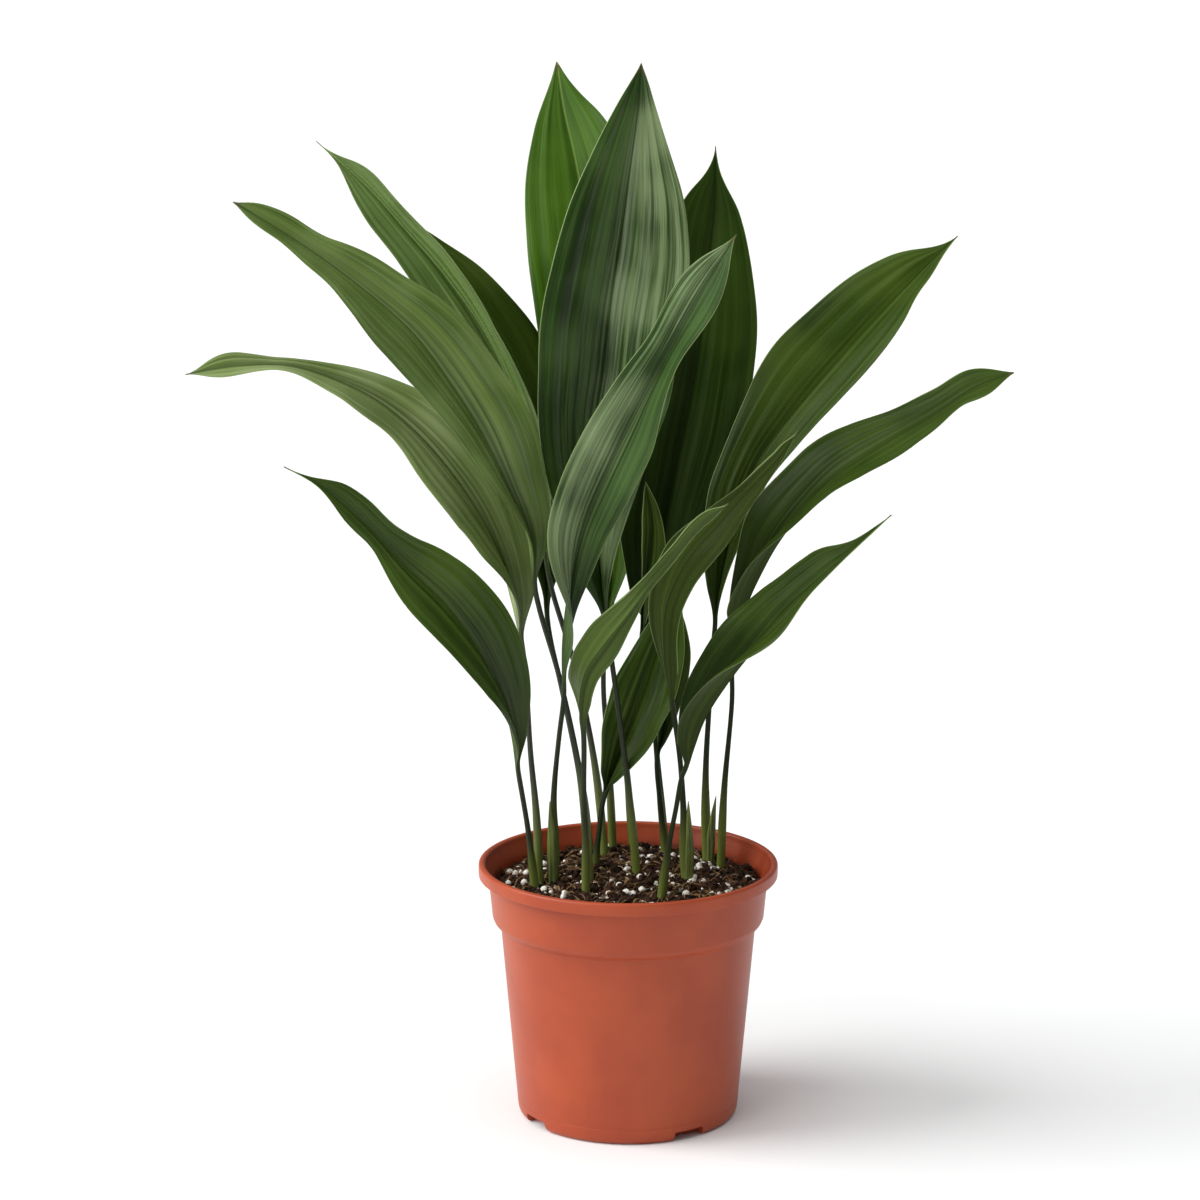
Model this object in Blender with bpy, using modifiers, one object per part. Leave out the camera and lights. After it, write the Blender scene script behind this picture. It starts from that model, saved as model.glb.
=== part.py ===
"""Potted cast iron plant (Aspidistra elatior) in a plastic nursery pot.

Metres, Z up, front towards -Y. The pot's axis is the Z axis and its underside rests on Z = 0.
Every leaf is one solid from its socket in the soil to its tip: a round petiole that opens out into
a thin folded blade. A leaf is set by the course of its midrib and by the way its upper side faces.
"""

import math
from dataclasses import dataclass

import bmesh
import bpy
from mathutils import Vector

MM = 0.001

# Pot: a standard 17 cm nursery pot, drawn by its outer profile (radius, height) in mm
POT_HEIGHT = 147.0
POT_RIM_RADIUS = 85.0
POT_BAND_TOP_RADIUS = 79.3
POT_BAND_FOOT_RADIUS = 77.2
POT_BODY_TOP_RADIUS = 72.5
POT_FOOT_RADIUS = 62.8
POT_LEDGE_RADIUS = 52.2
POT_WALL = 1.6
POT_BASE = 2.0
POT_SEGMENTS = 72
NOTCH_RADIUS = 62.0
NOTCH_WIDTH = 21.0
NOTCH_HEIGHT = 5.4
NOTCH_DEPTH = 9.0
NOTCH_AZIMUTHS = (33, 123, 213, 303)
DRAIN_RADIUS = 4.0
DRAIN_NOTCH_REACH = 58.2
DRAIN_BASE_REACH = 32.0

# Soil: a low mound inside the pot
SOIL_EDGE_HEIGHT = 134.0
SOIL_MIDDLE_HEIGHT = 138.0
SOCKET_FLOOR = 124.0
GAP = 0.35

# Leaf sections
LEAF_STATIONS = 25
STALK_STATIONS = 9
BLADE_THICK = 0.8
RIB_THICK = 1.9
STALK_RADIUS = 1.55
STALK_FOOT_RADIUS = 3.0


@dataclass(frozen=True)
class Leaf:
    """One leaf. course runs in mm from the soil to the tip, and neck is the index of the point in it
    where the petiole ends. faces holds (share of the blade, azimuth, elevation) of the upper side in
    degrees, with azimuth 0 at the front and 90 at +X. fold is each half's lift at the neck and
    further on, and grow holds how quickly the width rises from the neck and falls to the tip.
    """

    name: str
    course: tuple
    neck: int
    half: float
    faces: tuple
    grow: tuple = (1.15, 0.95)
    fold: tuple = (60, 18)
    reach: float = 0.45
    foot: float = STALK_FOOT_RADIUS


LEAVES = (
    Leaf(
        "leaf_tall_middle",
        ((6, 1, 126), (2, 4, 170), (-4, 10, 221), (-11, 15, 272), (-16, 18, 312), (-19, 21, 351),
         (-18, 25, 395), (-14, 28, 423), (-10, 33, 460), (-4, 39, 498), (1, 46, 536), (5, 51, 566),
         (7, 56, 592)),
        neck=3, half=40, grow=(1.15, 1.0),
        faces=((0, -20, 5), (0.4, 0, 14), (0.62, 14, 16), (1, 20, 20)),
    ),
    Leaf(
        "leaf_tall_back",
        ((-8, 62, 126), (-11, 66, 189), (-14, 70, 232), (-13, 73, 259), (-8, 82, 305), (-10, 91, 352),
         (-14, 99, 398), (-18, 107, 444), (-23, 114, 490), (-30, 119, 532), (-37, 123, 563),
         (-41, 126, 589)),
        neck=3, half=37, grow=(1.1, 0.75), fold=(50, 13),
        faces=((0, -10, 5), (0.5, -8, 12), (1, -5, 15)),
    ),
    Leaf(
        "leaf_upright_right",
        ((23, 62, 126), (19, 62, 172), (16, 63, 207), (13, 67, 254), (14, 69, 284), (20, 72, 318),
         (29, 76, 362), (37, 80, 402), (43, 84, 442), (47, 88, 481), (50, 92, 512), (50, 95, 543)),
        neck=3, half=36, grow=(0.95, 0.95), fold=(40, 16),
        faces=((0, 0, 5), (0.5, -8, 14), (1, -10, 20)),
    ),
    Leaf(
        "leaf_front_slanting",
        ((-42, 1, 126), (-42, -6, 186), (-39, -12, 221), (-36, -17, 248), (-36, -21, 278),
         (-33, -27, 308), (-25, -34, 345), (-8, -41, 387), (13, -49, 430), (33, -56, 468),
         (47, -60, 493), (56, -63, 509)),
        neck=3, half=22, grow=(1.05, 1.1), foot=3.4,
        faces=((0, 100, 10), (0.15, 70, 10), (0.35, 10, 15), (0.6, -10, 20), (0.8, -18, 25),
               (1, -20, 25)),
    ),
    Leaf(
        "leaf_left_wide",
        ((-21, -9, 126), (-26, -10, 191), (-38, -8, 253), (-51, -7, 300), (-56, -10, 336),
         (-67, -13, 364), (-81, -17, 396), (-99, -21, 426), (-118, -25, 452), (-150, -30, 481),
         (-177, -34, 501), (-212, -40, 524)),
        neck=3, half=31, grow=(1.1, 1.3),
        faces=((0, 50, 15), (0.35, 30, 25), (0.7, 28, 35), (1, 10, 40)),
    ),
    Leaf(
        "leaf_left_arching",
        ((-50, -6, 126), (-52, -3, 175), (-55, 0, 208), (-59, 5, 266), (-64, 8, 291), (-72, 12, 319),
         (-84, 15, 345), (-100, 16, 369), (-119, 16, 391), (-139, 14, 408), (-163, 10, 421),
         (-187, 6, 429), (-214, 0, 430), (-244, -5, 426)),
        neck=3, half=27, grow=(0.95, 1.3),
        faces=((0, 60, 25), (0.3, 30, 35), (0.68, 22, 48), (0.8, 180, 80), (0.89, 5, 40),
               (1, 0, 30)),
    ),
    Leaf(
        "leaf_left_low",
        ((-52, -13, 126), (-56, -15, 166), (-61, -22, 201), (-66, -36, 237), (-78, -50, 274),
         (-98, -64, 308), (-123, -76, 336), (-145, -86, 362), (-164, -94, 380), (-182, -100, 391)),
        neck=2, half=25, grow=(1.0, 1.25),
        faces=((0, 60, 25), (0.3, 50, 40), (0.6, 40, 48), (1, 20, 40)),
    ),
    Leaf(
        "leaf_left_high",
        ((-12, 45, 126), (-19, 50, 190), (-30, 57, 245), (-45, 64, 296), (-49, 68, 325),
         (-59, 74, 382), (-78, 80, 431), (-104, 87, 469), (-126, 93, 494), (-148, 99, 518),
         (-179, 106, 545)),
        neck=3, half=23, grow=(1.1, 1.15),
        faces=((0, 20, 20), (0.5, -50, 25), (0.8, -45, 30), (1, 0, 30)),
    ),
    Leaf(
        "leaf_left_back",
        ((-21, 52, 126), (-26, 53, 173), (-38, 60, 232), (-46, 66, 269), (-48, 72, 307),
         (-52, 79, 346), (-63, 87, 387), (-77, 98, 422), (-96, 109, 456), (-114, 117, 481),
         (-129, 122, 500)),
        neck=3, half=30, grow=(1.15, 0.95),
        faces=((0, 20, 15), (0.5, 10, 25), (1, 10, 30)),
    ),
    Leaf(
        "leaf_right_high",
        ((46, 39, 126), (45, 42, 185), (47, 43, 230), (49, 43, 263), (52, 43, 291), (60, 44, 331),
         (73, 48, 367), (94, 51, 396), (119, 59, 424), (146, 69, 452), (168, 76, 474),
         (188, 82, 493)),
        neck=3, half=33, grow=(1.4, 1.05),
        faces=((0, -30, 10), (0.35, -40, 25), (0.7, -28, 35), (1, -15, 40)),
    ),
    Leaf(
        "leaf_right_arching",
        ((53, 21, 126), (55, 22, 183), (59, 23, 235), (59, 22, 262), (63, 18, 280), (67, 14, 295),
         (74, 10, 312), (83, 5, 330), (97, 0, 350), (117, -5, 372), (141, -9, 389), (168, -13, 406),
         (189, -16, 420), (210, -18, 429)),
        neck=3, half=29, grow=(1.0, 0.95), fold=(72, 16), reach=0.6,
        faces=((0, -90, 20), (0.25, -80, 40), (0.5, -45, 55), (0.75, -30, 60), (1, -10, 55)),
    ),
    Leaf(
        "leaf_right_low",
        ((17, -39, 126), (22, -41, 167), (26, -43, 190), (29, -45, 208), (31, -46, 213),
         (35, -49, 226), (41, -54, 244), (54, -61, 267), (67, -68, 286), (83, -75, 308),
         (100, -81, 326), (118, -87, 344), (138, -93, 364)),
        neck=3, half=25, grow=(0.9, 1.3), fold=(75, 16), reach=0.65,
        faces=((0, -90, 20), (0.3, -75, 35), (0.6, -45, 55), (0.8, -30, 60), (1, -10, 60)),
    ),
    Leaf(
        "leaf_right_narrow",
        ((33, -3, 126), (31, -6, 180), (29, -9, 208), (25, -13, 238), (20, -20, 271), (21, -25, 301),
         (32, -30, 327), (48, -34, 347), (66, -38, 369), (80, -41, 385), (91, -44, 401)),
        neck=3, half=16, grow=(0.95, 1.35),
        faces=((0, 150, 0), (0.3, 160, 20), (0.6, 180, 40), (1, 180, 50)),
    ),
    Leaf(
        "leaf_front_short",
        ((-24, -29, 126), (-24, -31, 162), (-25, -36, 198), (-25, -42, 231), (-27, -48, 250),
         (-24, -54, 269), (-14, -60, 286), (-1, -66, 302), (13, -72, 319), (27, -78, 337),
         (39, -83, 354), (52, -87, 369)),
        neck=3, half=16.5, grow=(0.75, 1.35),
        faces=((0, 150, 0), (0.3, 150, 15), (0.6, -170, 35), (1, 180, 50)),
    ),
    Leaf(
        "leaf_inner_low",
        ((-20, 15, 126), (-17, 16, 156), (-14, 18, 178), (-9, 19, 192), (0, 21, 215), (9, 24, 238),
         (16, 27, 260), (23, 30, 283), (28, 33, 303)),
        neck=2, half=19, grow=(0.95, 1.0),
        faces=((0, -30, 10), (0.5, -15, 20), (1, -10, 20)),
    ),
    Leaf(
        "leaf_inner_young",
        ((4, 56, 126), (1, 55, 168), (-1, 54, 204), (4, 53, 234), (8, 52, 264), (9, 51, 287),
         (13, 50, 314), (14, 49, 334), (10, 47, 357)),
        neck=4, half=8, grow=(1.0, 1.0), foot=2.4,
        faces=((0, -10, 5), (1, -20, 10)),
    ),
    Leaf(
        "leaf_inner_narrow",
        ((23, 48, 126), (20, 48, 158), (17, 49, 193), (19, 50, 206), (23, 51, 227), (27, 52, 247),
         (28, 52, 268), (25, 51, 292)),
        neck=2, half=9, grow=(1.0, 1.0), foot=2.4,
        faces=((0, 20, 5), (1, 20, 10)),
    ),
)

# Dry sheaths beside petioles: name, foot (x, y), lean (x, y) over the height, top height, radius
SHEATHS = (
    ("sheath_left", (-44, -8), (-1, -1), 184, 2.0),
    ("sheath_middle", (38, -6), (1, -1), 182, 2.0),
    ("sheath_right", (49, 32), (3, -2), 181, 2.2),
)

LEAF_GREEN = (0.045, 0.115, 0.022, 1)
SHEATH_GREEN = (0.16, 0.17, 0.05, 1)
POT_CLAY = (0.50, 0.11, 0.045, 1)
SOIL_BROWN = (0.024, 0.014, 0.009, 1)


def clear_scene():
    """Remove the objects that Blender starts with."""
    for found in list(bpy.data.objects):
        bpy.data.objects.remove(found, do_unlink=True)


def new_collection(name):
    """Return a new collection linked to the scene."""
    made = bpy.data.collections.new(name)
    bpy.context.scene.collection.children.link(made)
    return made


def material(name, colour, roughness):
    """Return a Principled material with one colour."""
    made = bpy.data.materials.new(name)
    made.use_nodes = True
    shader = made.node_tree.nodes["Principled BSDF"]
    shader.inputs["Base Color"].default_value = colour
    shader.inputs["Roughness"].default_value = roughness
    return made


def object_from(bm, name, collection, look=None):
    """Turn a bmesh into a named object in a collection."""
    bmesh.ops.recalc_face_normals(bm, faces=bm.faces)
    mesh = bpy.data.meshes.new(name)
    bm.to_mesh(mesh)
    bm.free()
    made = bpy.data.objects.new(name, mesh)
    collection.objects.link(made)
    if look:
        mesh.materials.append(look)
    return made


def hide(cutter):
    """Mark an object as a cutter."""
    cutter.hide_render = True
    cutter.display_type = "WIRE"


def cut(target, cutter):
    """Take a cutter out of a target with a Boolean."""
    step = target.modifiers.new("cut_" + cutter.name, "BOOLEAN")
    step.operation = "DIFFERENCE"
    step.solver = "EXACT"
    step.object = cutter
    hide(cutter)


def screw_solid(profile, name, collection, look, segments):
    """Turn a profile of (radius, height) in mm, whose ends lie on the axis, into a solid."""
    bm = bmesh.new()
    verts = [bm.verts.new((radius * MM, 0, height * MM)) for radius, height in profile]
    for first, second in zip(verts, verts[1:]):
        bm.edges.new((first, second))
    mesh = bpy.data.meshes.new(name)
    bm.to_mesh(mesh)
    bm.free()
    made = bpy.data.objects.new(name, mesh)
    mesh.materials.append(look)
    collection.objects.link(made)
    turn = made.modifiers.new("turn", "SCREW")
    turn.steps = turn.render_steps = segments
    turn.use_merge_vertices = True
    turn.merge_threshold = 0.00005
    turn.use_smooth_shade = False
    return made


def pot_profile():
    """The pot's section from the axis inside, over the rim and down to the axis underneath."""
    inside = POT_WALL
    rows = [
        (0, POT_BASE),
        (POT_LEDGE_RADIUS, POT_BASE),
        (POT_LEDGE_RADIUS, NOTCH_HEIGHT + POT_BASE),
        (POT_FOOT_RADIUS - inside, NOTCH_HEIGHT + POT_BASE),
        (POT_BODY_TOP_RADIUS - inside, 109.0),
        (POT_BAND_FOOT_RADIUS - inside, 115.5),
        (POT_BAND_TOP_RADIUS - inside, 139.0),
        (80.5, 140.5),
        (80.5, 145.5),
        (81.6, POT_HEIGHT),
        (83.6, POT_HEIGHT),
        (POT_RIM_RADIUS, 145.4),
        (POT_RIM_RADIUS, 141.2),
        (83.9, 139.7),
        (POT_BAND_TOP_RADIUS, 139.4),
        (POT_BAND_FOOT_RADIUS, 115.8),
        (POT_BODY_TOP_RADIUS, 110.0),
        (POT_FOOT_RADIUS + 0.4, 6.0),
        (POT_FOOT_RADIUS, 1.5),
        (POT_FOOT_RADIUS - 1.2, 0),
        (0, 0),
    ]
    return rows


def build_pot(collection, cutters):
    """The pot with its four drainage notches at the foot."""
    pot = screw_solid(
        pot_profile(), "pot", collection, material("pot_clay", POT_CLAY, 0.45), POT_SEGMENTS
    )
    for azimuth in NOTCH_AZIMUTHS:
        bm = bmesh.new()
        bmesh.ops.create_cube(bm, size=1)
        for vert in bm.verts:
            narrow = 0.88 if vert.co.z > 0 else 1.0
            vert.co.x *= NOTCH_WIDTH * narrow * MM
            vert.co.y *= 2 * NOTCH_DEPTH * MM
            vert.co.z = (vert.co.z + 0.5) * (NOTCH_HEIGHT + 2.0) * MM - 2.0 * MM
        notch = object_from(bm, f"notch_{azimuth}", cutters)
        turn = math.radians(azimuth)
        reach = (NOTCH_RADIUS + NOTCH_DEPTH - 7.0) * MM
        notch.location = (reach * math.sin(turn), -reach * math.cos(turn), 0)
        notch.rotation_euler = (0, 0, turn)
        cut(pot, notch)
        for reach, twist in ((DRAIN_NOTCH_REACH, 0), (DRAIN_BASE_REACH, 45)):
            turn = math.radians(azimuth + twist)
            bm = bmesh.new()
            bmesh.ops.create_cone(
                bm, cap_ends=True, segments=16, depth=20 * MM,
                radius1=DRAIN_RADIUS * MM, radius2=DRAIN_RADIUS * MM,
            )
            drain = object_from(bm, f"drain_{azimuth}_{twist}", cutters)
            drain.location = (reach * MM * math.sin(turn), -reach * MM * math.cos(turn), 5 * MM)
            cut(pot, drain)
    return pot


def build_soil(collection):
    """The soil: a mound that fills the pot, with room for the pot's raised ring at the foot."""
    gap = GAP
    rows = [
        (0, SOIL_MIDDLE_HEIGHT),
        (22, SOIL_MIDDLE_HEIGHT - 0.4),
        (45, SOIL_MIDDLE_HEIGHT - 1.2),
        (64, SOIL_EDGE_HEIGHT + 1.0),
        (75.3, SOIL_EDGE_HEIGHT),
        (POT_BAND_FOOT_RADIUS - POT_WALL - gap, 115.8),
        (POT_BODY_TOP_RADIUS - POT_WALL - gap, 109.2),
        (POT_FOOT_RADIUS - POT_WALL - gap + 0.1, NOTCH_HEIGHT + POT_BASE + gap),
        (POT_LEDGE_RADIUS - gap, NOTCH_HEIGHT + POT_BASE + gap),
        (POT_LEDGE_RADIUS - gap, POT_BASE + gap),
        (0, POT_BASE + gap),
    ]
    return screw_solid(rows, "soil", collection, material("soil_brown", SOIL_BROWN, 0.95), 48)


def smooth_course(points, count):
    """Sample a smooth curve through the points."""
    spots = [Vector(point) for point in points]
    knots = [0.0]
    for first, second in zip(spots, spots[1:]):
        knots.append(knots[-1] + math.sqrt((second - first).length))
    slopes = []
    for i in range(len(spots)):
        low, high = max(i - 1, 0), min(i + 1, len(spots) - 1)
        if low == i or high == i:
            slopes.append((spots[high] - spots[low]) / (knots[high] - knots[low]))
            continue
        before = (spots[i] - spots[low]) / (knots[i] - knots[low])
        after = (spots[high] - spots[i]) / (knots[high] - knots[i])
        share = (knots[i] - knots[low]) / (knots[high] - knots[low])
        slopes.append(before.lerp(after, share))
    course = []
    for step in range(count):
        at = knots[-1] * step / (count - 1)
        k = min(sum(knot <= at for knot in knots) - 1, len(spots) - 2)
        span = knots[k + 1] - knots[k]
        s = (at - knots[k]) / span
        course.append(
            spots[k] * (2 * s**3 - 3 * s**2 + 1)
            + slopes[k] * (span * (s**3 - 2 * s**2 + s))
            + spots[k + 1] * (3 * s**2 - 2 * s**3)
            + slopes[k + 1] * (span * (s**3 - s**2))
        )
    return course


def at_lengths(course, shares):
    """Return the points at the given shares of a course's length."""
    sums = [0.0]
    for first, second in zip(course, course[1:]):
        sums.append(sums[-1] + (second - first).length)
    found = []
    for share in shares:
        at = share * sums[-1]
        k = min(sum(length <= at for length in sums) - 1, len(course) - 2)
        span = max(sums[k + 1] - sums[k], 1e-9)
        found.append(course[k].lerp(course[k + 1], min((at - sums[k]) / span, 1)))
    return found


def face_at(faces, share):
    """Return the direction of the upper side at a share of the blade."""

    def towards(face):
        around, up = math.radians(face[1]), math.radians(face[2])
        return Vector(
            (math.sin(around) * math.cos(up), -math.cos(around) * math.cos(up), math.sin(up))
        )

    if share <= faces[0][0]:
        return towards(faces[0])
    for low, high in zip(faces, faces[1:]):
        if share <= high[0]:
            return towards(low).lerp(towards(high), (share - low[0]) / (high[0] - low[0]))
    return towards(faces[-1])


def width_share(t, grow):
    """Return the blade's half width as a share of its widest, t from the neck to the tip."""
    rise, fall = grow
    top = rise / (rise + fall)
    t = min(max(t, 1e-6), 1 - 1e-6)
    return t**rise * (1 - t) ** fall / (top**rise * (1 - top) ** fall)


def frame_at(before, after, face):
    """Return the directions across the leaf and out of its upper side."""
    along = (after - before).normalized()
    out = (face - along * face.dot(along)).normalized()
    return along.cross(out), out


def leaf_rings(leaf):
    """Return the leaf's sections, each a ring of eight points, from its foot to its tip."""
    dense = smooth_course(leaf.course, 400)
    neck = Vector(leaf.course[leaf.neck])
    split = min(range(len(dense)), key=lambda i: (dense[i] - neck).length)
    stalk = at_lengths(dense[: split + 1], [i / STALK_STATIONS for i in range(STALK_STATIONS)])
    shares = [(i / (LEAF_STATIONS - 1)) for i in range(LEAF_STATIONS)]
    blade = at_lengths(dense[split:], shares)
    spots = stalk + blade
    rings = []
    for i, spot in enumerate(spots):
        t = shares[i - len(stalk)] if i >= len(stalk) else 0.0
        face = face_at(leaf.faces, t)
        across, out = frame_at(spots[max(i - 1, 0)], spots[min(i + 1, len(spots) - 1)], face)
        if i < len(stalk):
            low = max(0.0, 1 - i / (0.7 * STALK_STATIONS))
            radius = STALK_RADIUS + (leaf.foot - STALK_RADIUS) * low**1.3
            rings.append(
                [
                    spot
                    + across * (radius * math.cos(math.pi - k * math.pi / 4))
                    + out * (radius * math.sin(math.pi - k * math.pi / 4))
                    for k in range(8)
                ]
            )
            continue
        wide = max(leaf.half * width_share(t, leaf.grow), STALK_RADIUS * (1 - t) + 0.35)
        lift = leaf.fold[1] + (leaf.fold[0] - leaf.fold[1]) * max(0.0, 1 - t / leaf.reach) ** 1.5
        lift = math.radians(lift * min(1.0, t / 0.06))
        blend = min(1.0, t / 0.12)
        rib = STALK_RADIUS * (1 - blend) + RIB_THICK / 2 * blend * (1 - 0.55 * t)
        half_way = STALK_RADIUS * 0.8 * (1 - blend) + BLADE_THICK / 2 * blend
        inner = 0.45 if blend >= 1 else 0.7 + (0.45 - 0.7) * blend
        ring = []
        for side, thick in (
            (-1.0, 0.0), (-inner, half_way), (0.0, rib * 0.7), (inner, half_way),
            (1.0, 0.0), (inner, -half_way), (0.0, -rib), (-inner, -half_way),
        ):
            reach = abs(side) * wide
            x = math.copysign(reach * math.cos(lift), side) if side else 0.0
            z = reach * math.sin(lift) + thick
            ring.append(spot + across * x + out * z)
        rings.append(ring)
    return rings


def loft(rings, name, collection, look):
    """Close a run of rings into one solid. The two sides of a blade are split along the same
    diagonals, so that a thin twisted blade keeps its thickness everywhere.
    """
    bm = bmesh.new()
    rows = [[bm.verts.new(point * MM) for point in ring] for ring in rings]
    count = len(rows[0])
    for low, high in zip(rows, rows[1:]):
        for k in range(count):
            after = (k + 1) % count
            if (k // 2) % 2:
                bm.faces.new((low[k], low[after], high[k]))
                bm.faces.new((low[after], high[after], high[k]))
            else:
                bm.faces.new((low[k], low[after], high[after]))
                bm.faces.new((low[k], high[after], high[k]))
    bm.faces.new(rows[0][::-1])
    bm.faces.new(rows[-1])
    return object_from(bm, name, collection, look)


def socket(course, radius, name, collection):
    """A round cutter along the foot of a course, wider than the petiole by the gap."""
    foot, up = Vector(course[0]), Vector(course[1])
    lean = (up - foot).normalized()
    bm = bmesh.new()
    length = 28.0
    bmesh.ops.create_cone(
        bm, cap_ends=True, segments=12, depth=length * MM,
        radius1=(radius + 2.2 * GAP) * MM, radius2=(radius + 2.2 * GAP) * MM,
    )
    made = object_from(bm, name, collection)
    made.location = (foot + lean * (length / 2 - 2 * GAP)) * MM
    made.rotation_euler = lean.to_track_quat("Z", "Y").to_euler()
    return made


def build_leaves(collection, cutters, soil):
    """Every leaf, with its socket cut in the soil."""
    for leaf in LEAVES:
        look = material(leaf.name + "_green", LEAF_GREEN, 0.4)
        loft(leaf_rings(leaf), leaf.name, collection, look)
        cut(soil, socket(leaf.course, leaf.foot, leaf.name + "_socket", cutters))


def build_sheaths(collection, cutters, soil):
    """The pointed dry sheaths that stand beside three petioles."""
    for name, foot, lean, top, radius in SHEATHS:
        base = Vector((foot[0], foot[1], SOCKET_FLOOR + 4))
        tip = Vector((foot[0] + lean[0], foot[1] + lean[1], top))
        rings = []
        for share, size in ((0, 1.0), (0.3, 1.0), (0.6, 0.8), (0.85, 0.45), (1, 0.15)):
            spot = base.lerp(tip, share)
            rings.append(
                [
                    spot
                    + Vector((math.cos(k * math.pi / 4), math.sin(k * math.pi / 4), 0))
                    * (radius * size)
                    for k in range(8)
                ]
            )
        loft(rings, name, collection, material(name + "_green", SHEATH_GREEN, 0.6))
        cut(soil, socket((base, tip), radius, name + "_socket", cutters))


def main():
    """Build the plant."""
    clear_scene()
    plant = new_collection("potted_cast_iron_plant")
    cutters = new_collection("cutters")
    build_pot(plant, cutters)
    soil = build_soil(plant)
    build_leaves(plant, cutters, soil)
    build_sheaths(plant, cutters, soil)


main()
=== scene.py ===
"""Potted cast iron plant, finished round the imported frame.

The pot is turned from its section, the soil is a rough bed with loose grains lying in it, and every
leaf is one closed tube that starts round at the foot and opens out into a thin ribbed blade.
Sizes are in millimetres in the tables and in metres in the meshes. Front is -Y and up is +Z.
"""

import logging
import math
import random
from dataclasses import dataclass, field
from enum import Enum
from typing import Any, ClassVar, Sequence

import bmesh
import bpy
import numpy as np
from mathutils import Matrix, Vector, noise


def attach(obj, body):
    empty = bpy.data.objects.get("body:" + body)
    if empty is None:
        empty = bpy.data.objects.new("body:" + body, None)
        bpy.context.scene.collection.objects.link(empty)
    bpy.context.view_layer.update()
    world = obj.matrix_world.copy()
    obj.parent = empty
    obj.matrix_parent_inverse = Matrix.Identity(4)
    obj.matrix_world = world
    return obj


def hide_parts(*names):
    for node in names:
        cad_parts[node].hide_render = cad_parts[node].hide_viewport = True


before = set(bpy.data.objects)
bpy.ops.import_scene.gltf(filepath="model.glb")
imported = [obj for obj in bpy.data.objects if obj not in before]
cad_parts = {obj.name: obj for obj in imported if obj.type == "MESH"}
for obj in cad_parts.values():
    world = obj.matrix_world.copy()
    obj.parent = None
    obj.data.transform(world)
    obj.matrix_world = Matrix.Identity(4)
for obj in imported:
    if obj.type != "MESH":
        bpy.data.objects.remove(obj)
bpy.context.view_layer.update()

MM = 0.001
WELD = 0.000004  # points closer than this, in metres, become one
NEVER_SHARP = 180.0  # crease angle in degrees that leaves every edge smooth
BODY = "root"
LOG = logging.getLogger("cast_iron_plant")

Point = tuple[float, float, float]
Pair = tuple[float, float]


# ---------------------------------------------------------------------------------------------
# Colour and node helpers
# ---------------------------------------------------------------------------------------------


def linear(code: str) -> tuple[float, float, float, float]:
    """Turn an sRGB hex colour into linear RGBA.

    Args:
        code: six hex digits, with or without a leading mark.

    Returns:
        Red, green and blue as linear numbers, and an alpha of 1.
    """
    digits = code.lstrip("#")
    parts = [int(digits[i : i + 2], 16) / 255 for i in (0, 2, 4)]
    lin = [c / 12.92 if c <= 0.04045 else ((c + 0.055) / 1.055) ** 2.4 for c in parts]
    return (lin[0], lin[1], lin[2], 1.0)


def add_node(tree: Any, kind: str, settings: dict[str, Any] | None = None, **inputs: Any) -> Any:
    """Add one node with its settings and its inputs.

    Args:
        tree: the node tree.
        kind: the node's type name.
        settings: attributes to set on the node.
        inputs: an underscore and a number, or a socket name with underscores for spaces. A socket
            is linked and anything else is set as the value.

    Returns:
        The new node.
    """
    node = tree.nodes.new(kind)
    for key, value in (settings or {}).items():
        setattr(node, key, value)
    for key, value in inputs.items():
        slot = int(key[1:]) if key[0] == "_" and key[1:].isdigit() else key.replace("_", " ")
        socket = node.inputs[slot]
        if isinstance(value, bpy.types.NodeSocket):
            tree.links.new(value, socket)
        else:
            socket.default_value = value
    return node


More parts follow.
